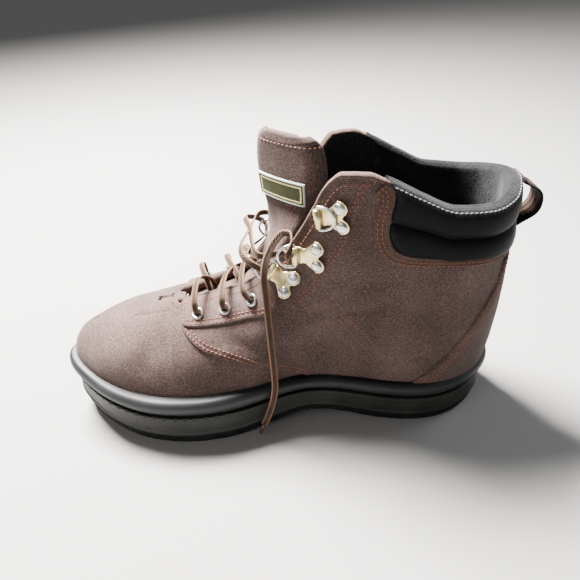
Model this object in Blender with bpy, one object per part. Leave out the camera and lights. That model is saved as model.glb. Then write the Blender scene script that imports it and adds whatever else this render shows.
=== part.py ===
"""Wading boot for the right foot, empty, standing on its felt sole.

Units are metres. +X points to the toe, +Y to the medial side (the wearer's left) and +Z up.
The origin is on the floor under the middle of the heel's tread.

The upper is one function: ribs run from the feather line, where it meets the sole, up to the
top line (collar, facing, throat, ridge of the toe). Every panel is cut from that function.
"""
import math

import bmesh
import bpy
import numpy as np

# Last and stack, in metres
SOLE_LENGTH = 0.318
HEEL_SETBACK = 0.048
HEEL_WIDTH = 0.087
WAIST_WIDTH = 0.087
BALL_WIDTH = 0.113
ANKLE_WIDTH = 0.082
TOE_HEIGHT = 0.0795
INSTEP_HEIGHT = 0.093
COLLAR_HEIGHT = 0.172
FACING_HEIGHT = 0.194
HEEL_STACK = 0.038
BALL_STACK = 0.0425
ARCH_LIFT = 0.0075
TOE_SPRING = 0.010

# Cloth, rubber and felt, in metres
GAP = 0.0003
WALL = 0.0022
CANVAS = 0.0012
UPPER_INSET = 0.0045
LIP_PROUD = 0.0030
GROOVE_DEPTH = 0.0022
TREAD_INSET = 0.0012
INSOLE_THICKNESS = 0.004
TONGUE_THICKNESS = 0.0055
TONGUE_TOP = 0.2085
CUFF_OUTWARD = 0.0050
CUFF_INWARD = 0.0068
BAND_WIDTH = 0.0078
LABEL_WIDTH = 0.040
LABEL_THICKNESS = 0.0012
LOOP_WIDTH = 0.020
LOOP_THICKNESS = 0.0018
LOOP_STAND = 0.011

# Metal fittings and lace, in metres
EYELET_HOLE = 0.0023
EYELET_BARREL = 0.0027
EYELET_FLANGE = 0.0046
HOLE_CLEARANCE = 0.0003
PLATE_THICKNESS = 0.0009
PLATE_REACH = 0.0140
RIVET_PITCH = 0.0115
RIVET_RADIUS = 0.0037
RIVET_RISE = 0.0016
LOBE_RADIUS = 0.0048
BARREL_LENGTH = 0.0118
WIRE_RADIUS = 0.0010
BARREL_WALL = 0.0008
RING_REACH = 0.0110
LACE_WIDTH = 0.0046

# Sole layers as shares of the stack's height, from the floor up
FELT_TOP = 0.19
MIDSOLE_TOP = 0.62
LIP_BOTTOM = 0.80
FEATHER = 1.0

NEAR = 1
FAR = -1
SIDES = {"medial": NEAR, "lateral": FAR}
WIDTHS = {"heel": HEEL_WIDTH, "waist": WAIST_WIDTH, "ball": BALL_WIDTH}
HEIGHTS = {"toe": TOE_HEIGHT, "instep": INSTEP_HEIGHT, "collar": COLLAR_HEIGHT, "facing": FACING_HEIGHT}

# Plan of the tread: along is a share of SOLE_LENGTH, medial and lateral are shares of the named width
OUTLINE = (
    # along, width, medial, lateral
    (0.000, "heel", 0.000, 0.000),
    (0.044, "heel", 0.313, 0.305),
    (0.135, "heel", 0.510, 0.489),
    (0.292, "waist", 0.501, 0.500),
    (0.450, "waist", 0.486, 0.523),
    (0.607, "ball", 0.519, 0.460),
    (0.748, "ball", 0.559, 0.445),
    (0.858, "ball", 0.481, 0.323),
    (0.943, "ball", 0.334, 0.097),
    (1.000, "ball", 0.106, -0.106),
)

# Floor side of the sole: arch is a share of ARCH_LIFT and spring of TOE_SPRING
FLOOR = (
    # along, arch, spring
    (0.000, 0.0, 0.15),
    (0.050, 0.0, 0.00),
    (0.245, 0.0, 0.00),
    (0.434, 1.0, 0.00),
    (0.610, 0.0, 0.00),
    (0.796, 0.0, 0.00),
    (0.906, 0.0, 0.35),
    (1.000, 0.0, 1.00),
)

# Middle line of the upper, seen from above: a share of BALL_WIDTH towards the medial side
MIDDLE = (
    # along, medial
    (0.000, 0.000),
    (0.450, 0.000),
    (0.607, 0.030),
    (0.748, 0.055),
    (0.858, 0.082),
    (1.000, 0.106),
)

# Ribs of the upper, from the back of the heel to the tip of the toe. Foot is the share of the way
# along the feather line. The rib's top is at along, half (a share of ANKLE_WIDTH from the middle
# line) and high (a share of the named height). Lean and rise steer its start and spread and drop
# its end, as shares of the rib's own reach.
RIBS = (
    # foot, along, half, height, high, lean, rise, spread, drop
    (0.000, 0.022, 0.000, "collar", 1.040, 0.050, 0.33, 0.02, 0.33),
    (0.066, 0.045, 0.290, "collar", 1.016, 0.045, 0.33, 0.02, 0.33),
    (0.128, 0.097, 0.450, "collar", 0.996, 0.030, 0.33, 0.01, 0.33),
    (0.190, 0.164, 0.495, "collar", 1.002, 0.010, 0.33, 0.00, 0.33),
    (0.250, 0.228, 0.505, "collar", 1.050, 0.005, 0.33, 0.00, 0.33),
    (0.310, 0.290, 0.505, "facing", 0.980, 0.005, 0.33, 0.00, 0.33),
    (0.358, 0.335, 0.490, "facing", 1.006, 0.005, 0.33, 0.01, 0.33),
    (0.392, 0.372, 0.455, "facing", 1.003, 0.005, 0.34, 0.02, 0.33),
    (0.415, 0.398, 0.410, "facing", 0.962, 0.005, 0.35, 0.03, 0.33),
    (0.436, 0.418, 0.370, "facing", 0.890, 0.005, 0.37, 0.05, 0.32),
    (0.470, 0.450, 0.320, "facing", 0.785, 0.010, 0.40, 0.07, 0.27),
    (0.504, 0.484, 0.290, "facing", 0.706, 0.020, 0.43, 0.10, 0.20),
    (0.540, 0.522, 0.240, "facing", 0.634, 0.030, 0.45, 0.14, 0.15),
    (0.582, 0.570, 0.165, "instep", 1.165, 0.030, 0.46, 0.20, 0.11),
    (0.630, 0.628, 0.120, "instep", 1.085, 0.030, 0.46, 0.26, 0.07),
    (0.678, 0.685, 0.100, "instep", 1.025, 0.030, 0.46, 0.31, 0.05),
    (0.710, 0.722, 0.085, "instep", 0.995, 0.030, 0.46, 0.34, 0.03),
    (0.728, 0.737, 0.000, "instep", 1.000, 0.030, 0.46, 0.36, 0.00),
    (0.770, 0.780, 0.000, "instep", 0.975, 0.030, 0.46, 0.36, 0.00),
    (0.830, 0.830, 0.000, "toe", 1.110, 0.055, 0.44, 0.38, 0.01),
    (0.890, 0.872, 0.000, "toe", 1.070, 0.080, 0.40, 0.40, 0.03),
    (0.945, 0.900, 0.000, "toe", 1.028, 0.100, 0.36, 0.41, 0.06),
    (1.000, 0.914, 0.000, "toe", 1.000, 0.110, 0.34, 0.42, 0.08),
)
THROAT_RIB = 17
TOE_RIB = len(RIBS) - 1
RIB_STEPS = np.unique(np.concatenate([np.arange(0, 23), (0.5, 1.5), np.arange(16.5, 22, 1)]))
WALL_ROWS = np.linspace(0.0, 1.0, 9)

# Lower edge of the padded cuff: share of the way from the back of the heel to its front corner,
# and share of COLLAR_HEIGHT
CUFF_LOW = (
    # way, high
    (0.00, 0.810),
    (0.30, 0.811),
    (0.65, 0.816),
    (0.86, 0.822),
    (1.00, 0.829),
)

# Front edge of the padded cuff, from its lower corner up: share of its height, place along the boot
CUFF_FRONT = (
    # up, along
    (0.00, 0.232),
    (0.03, 0.252),
    (0.07, 0.266),
    (0.19, 0.281),
    (0.38, 0.290),
    (0.60, 0.288),
    (0.80, 0.283),
    (0.93, 0.290),
    (1.00, 0.303),
)

# Section of the padded cuff: share of its depth, and share of CUFF_OUTWARD or -CUFF_INWARD
CUFF_SECTION = (
    # up, out
    (0.00, 0.35),
    (0.04, 0.70),
    (0.12, 0.92),
    (0.26, 1.00),
    (0.42, 0.75),
    (0.50, 0.45),
    (0.57, 0.82),
    (0.72, 1.05),
    (0.84, 1.00),
    (0.94, 0.85),
    (1.05, 0.25),
    (1.07, -0.35),
    (0.96, -0.85),
    (0.86, -0.97),
    (0.72, -1.00),
    (0.57, -1.00),
    (0.50, -1.00),
    (0.42, -0.97),
    (0.26, -0.90),
    (0.12, -0.75),
    (0.04, -0.55),
    (0.00, -0.40),
)

# Lower part of the tongue, under the throat: rib that it lies under, how far down that rib it
# reaches, and how far its middle stands in front of the facings, as a share of ANKLE_WIDTH
TONGUE = (
    # rib, reach, bulge
    (18.0, 0.24, 0.000),
    (17.0, 0.22, 0.000),
    (15.6, 0.20, 0.000),
    (14.5, 0.17, 0.010),
    (13.5, 0.08, 0.020),
    (12.7, 0.02, 0.045),
)
TONGUE_STEPS = (0.0, 0.3, 0.65, 1.0)

# Free part of the tongue: share of TONGUE_TOP, place along the boot, half width as a share of
# ANKLE_WIDTH, and how far its face is turned to the medial side, in degrees
TONGUE_FREE = (
    # high, along, half, turn
    (0.600, 0.529, 0.205, 6.0),
    (0.657, 0.508, 0.222, 18.0),
    (0.710, 0.493, 0.268, 33.0),
    (0.782, 0.486, 0.317, 45.0),
    (0.863, 0.487, 0.360, 48.0),
    (0.940, 0.487, 0.340, 50.0),
    (0.977, 0.487, 0.295, 50.0),
    (0.998, 0.487, 0.225, 50.0),
)
LABEL_ROWS = (3, 4)
# Section of the free tongue, from its lateral edge to its medial edge, in shares of the half width
TONGUE_SECTION = (
    # across, ahead
    (-1.00, -0.42),
    (-0.88, -0.20),
    (-0.70, -0.05),
    (-0.45, 0.00),
    (-0.20, 0.02),
    (0.00, 0.025),
    (0.20, 0.02),
    (0.45, 0.00),
    (0.70, -0.05),
    (0.88, -0.20),
    (1.00, -0.42),
)

# Pull loop behind the heel: share of the cuff's height, and share of the way from the cuff's face
# to LOOP_STAND behind it
LOOP_ROUTE = (
    # up, stand
    (0.06, 0.00),
    (0.13, 0.00),
    (0.22, 0.30),
    (0.36, 0.86),
    (0.52, 1.00),
    (0.68, 0.86),
    (0.79, 0.32),
    (0.85, 0.00),
    (0.92, 0.00),
)

# Eyelets and ring plates: place along the boot and share of the named height
EYELETS = (
    # along, height, high
    (0.674, "instep", 0.979),
    (0.614, "instep", 1.021),
    (0.551, "instep", 1.101),
)
RING_PLATES = (
    # name, barrel along, barrel high, rivets along, rivets high (heights in shares of FACING_HEIGHT)
    ("low", 0.503, 0.641, 0.473, 0.611),
    ("mid", 0.459, 0.719, 0.415, 0.726),
    ("top", 0.416, 0.861, 0.373, 0.874),
)

# Side views of the panels: place along the boot, and share of INSTEP_HEIGHT
QUARTER_EDGE = (
    (0.716, 1.060), (0.719, 1.000), (0.720, 0.955), (0.714, 0.926), (0.697, 0.872),
    (0.669, 0.807), (0.628, 0.754), (0.587, 0.693), (0.524, 0.585), (0.445, 0.462),
)
EYESTAY_EDGE = (
    (0.710, 1.060), (0.713, 1.000), (0.713, 0.955), (0.703, 0.922), (0.668, 0.925),
    (0.625, 0.944), (0.582, 0.970), (0.532, 1.024), (0.511, 1.071), (0.498, 1.139),
    (0.499, 1.208), (0.512, 1.262), (0.530, 1.330),
)
COUNTER_EDGE = (
    (0.028, 1.560), (0.036, 1.450), (0.041, 1.384), (0.048, 1.210), (0.061, 1.109),
    (0.094, 0.883), (0.129, 0.686), (0.176, 0.498), (0.200, 0.425),
)

# Free end of the lace, as a smooth curve through these points in metres: it leaves the middle
# ring of the medial side, falls over the quarter and the sole's edge, and ends on the floor
LACE_END_ROUTE = (
    (0.1030, 0.0402, 0.1455), (0.1008, 0.0370, 0.1512), (0.1020, 0.0318, 0.1550),
    (0.1062, 0.0298, 0.1545), (0.1108, 0.0318, 0.1505), (0.1148, 0.0352, 0.1448),
    (0.1175, 0.0388, 0.1385), (0.1186, 0.0420, 0.1310),
    (0.1180, 0.0450, 0.1170), (0.1170, 0.0475, 0.0990), (0.1160, 0.0505, 0.0800),
    (0.1150, 0.0535, 0.0600), (0.1148, 0.0562, 0.0480), (0.1165, 0.0575, 0.0370),
    (0.1195, 0.0580, 0.0260), (0.1228, 0.0581, 0.0160), (0.1243, 0.0580, 0.0128),
)
LACE_TIP_END = (0.1276, 0.0577, 0.0025)

COLOURS = {
    # material: colour, roughness, metallic
    "canvas": ((0.150, 0.105, 0.095), 0.85, 0.0),
    "padding": ((0.012, 0.012, 0.014), 0.80, 0.0),
    "rubber": ((0.030, 0.032, 0.034), 0.60, 0.0),
    "olive_rubber": ((0.075, 0.078, 0.066), 0.65, 0.0),
    "felt": ((0.025, 0.026, 0.025), 0.95, 0.0),
    "webbing": ((0.060, 0.042, 0.034), 0.80, 0.0),
    "label": ((0.090, 0.095, 0.050), 0.55, 0.0),
    "nickel": ((0.620, 0.560, 0.420), 0.25, 1.0),
    "lace": ((0.200, 0.130, 0.085), 0.80, 0.0),
}


def clear_scene():
    for item in list(bpy.data.objects):
        bpy.data.objects.remove(item)


def material(name):
    found = bpy.data.materials.get(name)
    if found:
        return found
    colour, roughness, metallic = COLOURS[name]
    made = bpy.data.materials.new(name)
    made.use_nodes = True
    shader = made.node_tree.nodes["Principled BSDF"]
    shader.inputs["Base Color"].default_value = (*colour, 1.0)
    shader.inputs["Roughness"].default_value = roughness
    shader.inputs["Metallic"].default_value = metallic
    return made


def add_object(name, points, faces, finish):
    """A closed mesh object with its faces turned outward, smooth with sharp edges kept."""
    mesh = bpy.data.meshes.new(name)
    mesh.from_pydata([tuple(map(float, p)) for p in points], [], [tuple(f) for f in faces])
    shape = bmesh.new()
    shape.from_mesh(mesh)
    bmesh.ops.recalc_face_normals(shape, faces=shape.faces)
    shape.to_mesh(mesh)
    shape.free()
    mesh.shade_smooth()
    mesh.set_sharp_from_angle(angle=math.radians(40))
    made = bpy.data.objects.new(name, mesh)
    made.data.materials.append(material(finish))
    bpy.context.scene.collection.objects.link(made)
    return made


def cutter(name, points, faces):
    made = add_object(name, points, faces, "canvas")
    made.hide_render = True
    made.display_type = "WIRE"
    return made


def boolean(target, tool, operation):
    step = target.modifiers.new(f"{operation.lower()}_{tool.name}", "BOOLEAN")
    step.operation = operation
    step.object = tool
    step.solver = "EXACT"


def monotone(knots, values, at):
    """Smooth interpolation that never overshoots its knots; outside them it holds the last value."""
    knots = np.asarray(knots, float)
    values = np.asarray(values, float)
    width = np.diff(knots)
    slope = np.diff(values) / width
    tangent = np.zeros_like(values)
    rising = slope[:-1] * slope[1:] > 0
    weight_a = 2 * width[1:] + width[:-1]
    weight_b = width[1:] + 2 * width[:-1]
    safe_a = np.where(rising, slope[:-1], 1.0)
    safe_b = np.where(rising, slope[1:], 1.0)
    tangent[1:-1] = np.where(rising, (weight_a + weight_b) / (weight_a / safe_a + weight_b / safe_b), 0.0)
    tangent[0] = slope[0]
    tangent[-1] = slope[-1]
    at = np.clip(at, knots[0], knots[-1])
    i = np.clip(np.searchsorted(knots, at, side="right") - 1, 0, len(width) - 1)
    t = (at - knots[i]) / width[i]
    h = width[i]
    return (
        (2 * t**3 - 3 * t**2 + 1) * values[i]
        + (t**3 - 2 * t**2 + t) * h * tangent[i]
        + (3 * t**2 - 2 * t**3) * values[i + 1]
        + (t**3 - t**2) * h * tangent[i + 1]
    )


def closed_spline(points, per_span):
    """Dense points of the periodic cubic spline through the given ones."""
    count = len(points)
    step = np.linalg.norm(np.roll(points, -1, axis=0) - points, axis=1)
    system = np.zeros((count, count))
    right = np.zeros_like(points)
    for i in range(count):
        after = (i + 1) % count
        system[i, i - 1] = step[i - 1]
        system[i, i] = 2 * (step[i - 1] + step[i])
        system[i, after] = step[i]
        right[i] = 6 * ((points[after] - points[i]) / step[i] - (points[i] - points[i - 1]) / step[i - 1])
    bend = np.linalg.solve(system, right)
    t = np.linspace(0, 1, per_span, endpoint=False)[:, None]
    spans = []
    for i in range(count):
        after = (i + 1) % count
        ease_in = (1 - t) ** 3 - (1 - t)
        ease_out = t**3 - t
        curve = (1 - t) * points[i] + t * points[after]
        spans.append(curve + step[i] ** 2 / 6 * (ease_in * bend[i] + ease_out * bend[after]))
    return np.concatenate(spans)


def open_spline(points, count):
    """Evenly parted points on a smooth curve through the given ones."""
    points = np.asarray(points, float)
    extended = np.concatenate([[2 * points[0] - points[1]], points, [2 * points[-1] - points[-2]]])
    fine = []
    for i in range(len(points) - 1):
        a, b, c, d = extended[i : i + 4]
        t = np.linspace(0, 1, 12, endpoint=False)[:, None]
        fine.append(0.5 * (2 * b + (c - a) * t + (2 * a - 5 * b + 4 * c - d) * t**2 + (3 * b - a - 3 * c + d) * t**3))
    fine = np.concatenate(fine + [points[-1:]])
    length = np.concatenate([[0], np.cumsum(np.linalg.norm(np.diff(fine, axis=0), axis=1))])
    at = np.linspace(0, length[-1], count)
    return np.stack([np.interp(at, length, fine[:, i]) for i in range(3)], axis=1)


def place_along(share):
    return np.asarray(share) * SOLE_LENGTH - HEEL_SETBACK


def share_along(x):
    return (np.asarray(x) + HEEL_SETBACK) / SOLE_LENGTH


def build_half_outlines():
    """Dense tread outline of each side, heel to toe, with its outward normals and length shares."""
    medial = [(place_along(a), WIDTHS[w] * m) for a, w, m, _ in OUTLINE]
    lateral = [(place_along(a), -WIDTHS[w] * m) for a, w, _, m in OUTLINE]
    loop = closed_spline(np.array(medial + lateral[-2:0:-1]), 40)
    toe = 40 * (len(OUTLINE) - 1)
    halves = {NEAR: loop[: toe + 1], FAR: np.concatenate([loop[toe:], loop[:1]])[::-1]}
    built = {}
    for side, line in halves.items():
        tangent = np.gradient(line, axis=0)
        tangent[0] = (0, side)
        tangent[-1] = (0, -side)
        tangent /= np.linalg.norm(tangent, axis=1)[:, None]
        normal = side * np.stack([-tangent[:, 1], tangent[:, 0]], axis=1)
        length = np.concatenate([[0], np.cumsum(np.linalg.norm(np.diff(line, axis=0), axis=1))])
        built[side] = (length / length[-1], line, normal)
    return built


HALVES = build_half_outlines()


def outline_point(side, share, offset=0.0):
    """Point of the tread outline at a share of the way from heel to toe, moved outward by offset."""
    shares, line, normal = HALVES[side]
    share = np.asarray(share, float)
    point = np.stack([np.interp(share, shares, line[:, i]) for i in range(2)], axis=-1)
    outward = np.stack([np.interp(share, shares, normal[:, i]) for i in range(2)], axis=-1)
    outward /= np.linalg.norm(outward, axis=-1, keepdims=True)
    return point + np.asarray(offset)[..., None] * outward, outward


def stack_height(x):
    rise = np.clip((share_along(x) - 0.21) / 0.25, 0, 1)
    return HEEL_STACK + (BALL_STACK - HEEL_STACK) * rise * rise * (3 - 2 * rise)


def layer_height(x, level):
    """Height of a sole layer at x: the arch fades out towards the top, the toe's spring doesn't."""
    along, arch, spring = zip(*FLOOR)
    at = np.clip(share_along(x), 0, 1)
    lift = ARCH_LIFT * monotone(along, arch, at)
    toe = TOE_SPRING * monotone(along, spring, at)
    return stack_height(x) * level + toe + lift * (1 - level)


def middle_line(x):
    along, medial = zip(*MIDDLE)
    return BALL_WIDTH * monotone(along, medial, share_along(x))


def mirrored(values, heel_odd=False, toe_about=None):
    """The column continued one rib past the heel and one past the toe, as the other side has it."""
    heel = -values[1] if heel_odd else values[1]
    toe = values[-2] if toe_about is None else 2 * toe_about - values[-2]
    return np.concatenate([[heel], values, [toe]])


def rib_columns():
    foot, along, half, names, high, lean, rise, spread, drop = zip(*RIBS)
    height = [HEIGHTS[name] * share for name, share in zip(names, high)]
    columns = {
        "foot": mirrored(foot, heel_odd=True, toe_about=1.0),
        "half": mirrored(np.array(half) * ANKLE_WIDTH, heel_odd=True),
    }
    even = {"x": place_along(along), "z": height, "lean": lean, "rise": rise, "spread": spread, "drop": drop}
    for name, values in even.items():
        columns[name] = mirrored(values)
    return columns


COLUMNS = rib_columns()
KNOTS = np.arange(-1, len(RIBS) + 1)
RIM_LEVEL = MIDSOLE_TOP


def rib_controls(side, k):
    """The four control points of the rib at place k, which may lie between two ribs of the table."""
    value = {name: monotone(KNOTS, column, k) for name, column in COLUMNS.items()}
    base, outward = outline_point(side, value["foot"], np.full(np.shape(k), -UPPER_INSET))
    start = np.concatenate([base, (layer_height(base[..., 0], RIM_LEVEL) + GAP)[..., None]], axis=-1)
    top_y = middle_line(value["x"]) + side * value["half"]
    end = np.stack([value["x"], top_y, value["z"]], axis=-1)
    reach = np.linalg.norm(end - start, axis=-1)[..., None]
    flat = np.concatenate([outward, np.zeros_like(outward[..., :1])], axis=-1)
    up = np.array([0.0, 0.0, 1.0])
    lean, rise, spread, drop = (value[n][..., None] * reach for n in ("lean", "rise", "spread", "drop"))
    return start, start + lean * flat + rise * up, end + spread * flat - drop * up, end


def surface(side, k, v):
    """Outer surface of the upper: a cubic from the feather line (v = 0) to the top line (v = 1)."""
    k, v = np.broadcast_arrays(np.asarray(k, float), np.asarray(v, float))
    a, b, c, d = rib_controls(side, k)
    t = np.clip(v, 0, 1)[..., None]
    point = (1 - t) ** 3 * a + 3 * t * (1 - t) ** 2 * b + 3 * t**2 * (1 - t) * c + t**3 * d
    return point + np.maximum(v - 1, 0)[..., None] * 3 * (d - c)


def surface_normal(side, k, v):
    e = 0.01
    along = surface(side, np.asarray(k) + e, v) - surface(side, np.asarray(k) - e, v)
    up = surface(side, k, np.minimum(v, 1.0)) - surface(side, k, np.minimum(v, 1.0) - e)
    normal = side * np.cross(up, along)
    return normal / np.linalg.norm(normal, axis=-1, keepdims=True)


def row_at_height(side, k, height):
    """The v at which the rib k passes the given height."""
    v = np.linspace(0, 1, 81)
    found = []
    for one_k, one_height in zip(np.atleast_1d(k), np.atleast_1d(height)):
        z = surface(side, one_k, v)[:, 2]
        found.append(np.interp(one_height, np.maximum.accumulate(z), v))
    return np.array(found)


FINE_K = np.linspace(0, TOE_RIB, 441)
FINE_V = np.linspace(0, 1, 121)
FINE = {side: surface(side, FINE_K[:, None], FINE_V[None, :]) for side in (NEAR, FAR)}


def find_place(side, x, z):
    """The (k, v) whose surface point has this x and z in the side view."""
    grid = FINE[side]
    miss = (grid[..., 0] - x) ** 2 + (grid[..., 2] - z) ** 2
    i, j = np.unravel_index(np.argmin(miss), miss.shape)
    k, v = FINE_K[i], FINE_V[j]
    e = 0.01
    for _ in range(4):
        here = surface(side, k, v)
        dk = (surface(side, k + e, v) - here) / e
        dv = (surface(side, k, v + e) - here) / e
        turn = np.array([[dk[0], dv[0]], [dk[2], dv[2]]])
        move = np.linalg.lstsq(turn, np.array([x - here[0], z - here[2]]), rcond=None)[0]
        k = float(np.clip(k + np.clip(move[0], -0.3, 0.3), 0.02, TOE_RIB - 0.02))
        v = float(np.clip(v + np.clip(move[1], -0.05, 0.05), 0.02, 1.0))
    return k, v


def upper_sheet():
    """Points, outward normals and faces of the whole outer surface, both sides joined."""
    columns = len(RIB_STEPS)
    rows = len(WALL_ROWS)
    index = {}
    points = []
    for side in (NEAR, FAR):
        grid = surface(side, RIB_STEPS[:, None], WALL_ROWS[None, :])
        for i in range(columns):
            for j in range(rows):
                shared = i in (0, columns - 1) or (j == rows - 1 and RIB_STEPS[i] >= THROAT_RIB)
                if side == FAR and shared:
                    index[side, i, j] = index[NEAR, i, j]
                    continue
                index[side, i, j] = len(points)
                points.append(grid[i, j])
    faces = []
    for side in (NEAR, FAR):
        for i in range(columns - 1):
            for j in range(rows - 1):
                quad = [index[side, a, b] for a, b in ((i, j), (i, j + 1), (i + 1, j + 1), (i + 1, j))]
                quad = quad if side == NEAR else [quad[1], quad[0], quad[3], quad[2]]
                for corners in (quad[:3], (quad[0], quad[2], quad[3])):
                    if len(set(corners)) == 3:
                        faces.append(list(corners))
    return np.array(points), faces


def vertex_normals(points, faces):
    total = np.zeros_like(points)
    for face in faces:
        corners = points[face]
        normal = np.cross(corners[2] - corners[0], corners[-1] - corners[1])
        total[face] += normal
    return total / np.linalg.norm(total, axis=1)[:, None]


def thick_sheet(name, points, faces, low, high, finish):
    """A closed solid between two offsets, low and high, of an open sheet along its normals."""
    points = np.asarray(points, float)
    normals = vertex_normals(points, faces)
    count = len(points)
    both = np.concatenate([points + normals * high, points + normals * low])
    solid = [list(face) for face in faces]
    solid += [[corner + count for corner in reversed(face)] for face in faces]
    directed = {(a, b) for face in faces for a, b in zip(face, face[1:] + face[:1])}
    for a, b in sorted(directed):
        if (b, a) not in directed:
            solid.append([b, a, a + count, b + count])
    return add_object(name, both, solid, finish)


def orient(sheet_points, faces, outward_hint):
    """Turns all faces round if the sheet's normals point away from the hint."""
    normals = vertex_normals(np.asarray(sheet_points, float), faces)
    if (normals * outward_hint).sum() < 0:
        return [face[::-1] for face in faces]
    return faces


SHEET = upper_sheet()
CLOUDS = {}


def layer_cloud(offset):
    """Dense points on the faceted sheet moved outward by offset, to seat the fittings on."""
    if offset not in CLOUDS:
        points, faces = SHEET
        moved = points + vertex_normals(points, faces) * offset
        corners = moved[np.array(faces)]
        parts = 7
        shares = [(i / parts, j / parts) for i in range(parts + 1) for j in range(parts + 1 - i)]
        spots = [corners[:, 0] * a + corners[:, 1] * b + corners[:, 2] * (1 - a - b) for a, b in shares]
        CLOUDS[offset] = np.concatenate(spots)
    return CLOUDS[offset]


def seat_height(point, normal, offset, inside):
    """How far the faceted sheet at this offset stands over point, where inside(points) holds."""
    cloud = layer_cloud(offset) - point
    near = (np.linalg.norm(cloud, axis=1) < 0.03) & inside(cloud)
    return float((cloud[near] @ normal).max())


def panel(name, low, high, finish="canvas"):
    points, faces = SHEET
    return thick_sheet(name, points, faces, low, high, finish)


def side_prism(name, side, outline, inner=0.5 * GAP):
    """A cutter: an outline in the side view carried across one side of the boot, or both (side 0)."""
    outline = [(float(x), float(z)) for x, z in outline]
    reach = BALL_WIDTH
    y_low, y_high = {NEAR: (inner, reach), FAR: (-reach, -inner), 0: (-reach, reach)}[side]
    count = len(outline)
    area = sum(a[0] * b[1] - b[0] * a[1] for a, b in zip(outline, outline[1:] + outline[:1]))
    if area < 0:
        outline = outline[::-1]
    points = [(x, y_low, z) for x, z in outline] + [(x, y_high, z) for x, z in outline]
    faces = [list(range(count)), list(range(2 * count - 1, count - 1, -1))]
    for i in range(count):
        j = (i + 1) % count
        faces.append([j, i, i + count, j + count])
    return cutter(name, points, faces)


def shape_points(rows, height, count=26):
    """Evenly parted points (x, z) on a smooth curve through the rows of a side view."""
    line = open_spline([(float(place_along(a)), 0.0, height * h) for a, h in rows], count)
    floor = layer_height(line[:, 0], FEATHER) + 2 * GAP
    return [(float(x), float(max(z, low))) for x, z, low in zip(line[:, 0], line[:, 2], floor)]


def feather_curve(x_from, x_to, count=12):
    """The line just over the rubber lip, where the panels end."""
    x = np.linspace(x_from, x_to, count)
    return list(zip(x, layer_height(x, FEATHER) + 2 * GAP))


def cuff_front(up):
    """Side view (x, z) of the cuff's front edge; up is the share of its height."""
    share, along = zip(*CUFF_FRONT)
    up = np.clip(up, 0, 1)
    low = COLLAR_HEIGHT * CUFF_LOW[-1][1]
    top_line = surface(NEAR, FINE_K[:160], 1.0)
    high = np.interp(place_along(along[-1]), top_line[:, 0], top_line[:, 2])
    return place_along(monotone(share, along, up)), low + up * (high - low)


def cuff_low_row(side, k, corner_k):
    """The v of the cuff's lower edge behind its front corner."""
    way, high = zip(*CUFF_LOW)
    k = np.atleast_1d(k)
    return row_at_height(side, k, COLLAR_HEIGHT * monotone(way, high, k / corner_k))


def cuff_boundary(front_outset=0.0, low_outset=0.0):
    """The cuff's front and lower edge in the side view, top of the front first, moved outward."""
    up = np.array([1.0, 0.96, 0.92, 0.86, 0.8, 0.7, 0.6, 0.5, 0.4, 0.3, 0.2, 0.14, 0.09, 0.05, 0.025, 0.0])
    x, z = cuff_front(up)
    corner_k, _ = find_place(NEAR, float(x[-1]), float(z[-1]))
    k = np.linspace(corner_k, 0.0, 13)[1:]
    low = surface(NEAR, k, cuff_low_row(NEAR, k, corner_k))
    line = np.concatenate([np.stack([x, z], axis=1), low[:, (0, 2)]])
    tangent = np.gradient(line, axis=0)
    tangent /= np.linalg.norm(tangent, axis=1)[:, None]
    outset = np.interp(np.arange(len(line)), (len(up) - 5, len(up)), (front_outset, low_outset))
    return line + outset[:, None] * np.stack([-tangent[:, 1], tangent[:, 0]], axis=1)


def cuff_prism(name, front_outset=0.0, low_outset=0.0):
    """The whole region above and behind the cuff's edge, as a cutter across both sides."""
    line = cuff_boundary(front_outset, low_outset)
    roof = FACING_HEIGHT * 1.3
    back = float(place_along(-0.15))
    loop = [(line[0][0] + 0.8 * (line[0][0] - line[1][0]), line[0][1] + 0.8 * (line[0][1] - line[1][1]))]
    loop = [(loop[0][0] + GAP, roof), *loop]
    loop += [tuple(p) for p in line] + [(back, line[-1][1]), (back, roof)]
    return side_prism(name, 0, loop)


def make_upper():
    upper = panel("upper", -WALL, 0.0)
    boolean(upper, cuff_prism("cuff_cut", 2 * GAP, 2 * GAP), "DIFFERENCE")
    return upper


def make_quarters(layer):
    made = []
    for name, side in SIDES.items():
        quarter = panel(f"quarter_{name}", *layer)
        edge = shape_points(QUARTER_EDGE, INSTEP_HEIGHT)
        roof = FACING_HEIGHT * 1.2
        back = float(place_along(-0.1))
        base = feather_curve(edge[-1][0], back, 14)
        loop = [(edge[0][0], INSTEP_HEIGHT * 1.2), *edge, *base[1:], (back, roof), (edge[-1][0], roof)]
        boolean(quarter, side_prism(f"quarter_cut_{name}", side, loop), "INTERSECT")
        boolean(quarter, bpy.data.objects["cuff_cut"], "DIFFERENCE")
        made.append(quarter)
    return made


def make_eyestays(layer):
    made = []
    for name, side in SIDES.items():
        stay = panel(f"eyestay_{name}", *layer)
        loop = shape_points(EYESTAY_EDGE, INSTEP_HEIGHT)
        loop = loop + [(loop[-1][0], INSTEP_HEIGHT * 1.35), (loop[0][0], INSTEP_HEIGHT * 1.15)]
        boolean(stay, side_prism(f"eyestay_cut_{name}", side, loop), "INTERSECT")
        made.append(stay)
    return made


def make_counter(layer):
    counter = panel("heel_counter", *layer)
    edge = shape_points(COUNTER_EDGE, INSTEP_HEIGHT, 16)
    back = float(place_along(-0.1))
    base = feather_curve(edge[-1][0], back, 8)
    loop = [*edge, *base[1:], (back, edge[0][1])]
    boolean(counter, side_prism("counter_cut", 0, loop), "INTERSECT")
    band_edge = cuff_prism("band_cut_below", BAND_WIDTH + GAP, BAND_WIDTH * 0.72 + GAP)
    boolean(counter, band_edge, "DIFFERENCE")
    return counter


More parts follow.
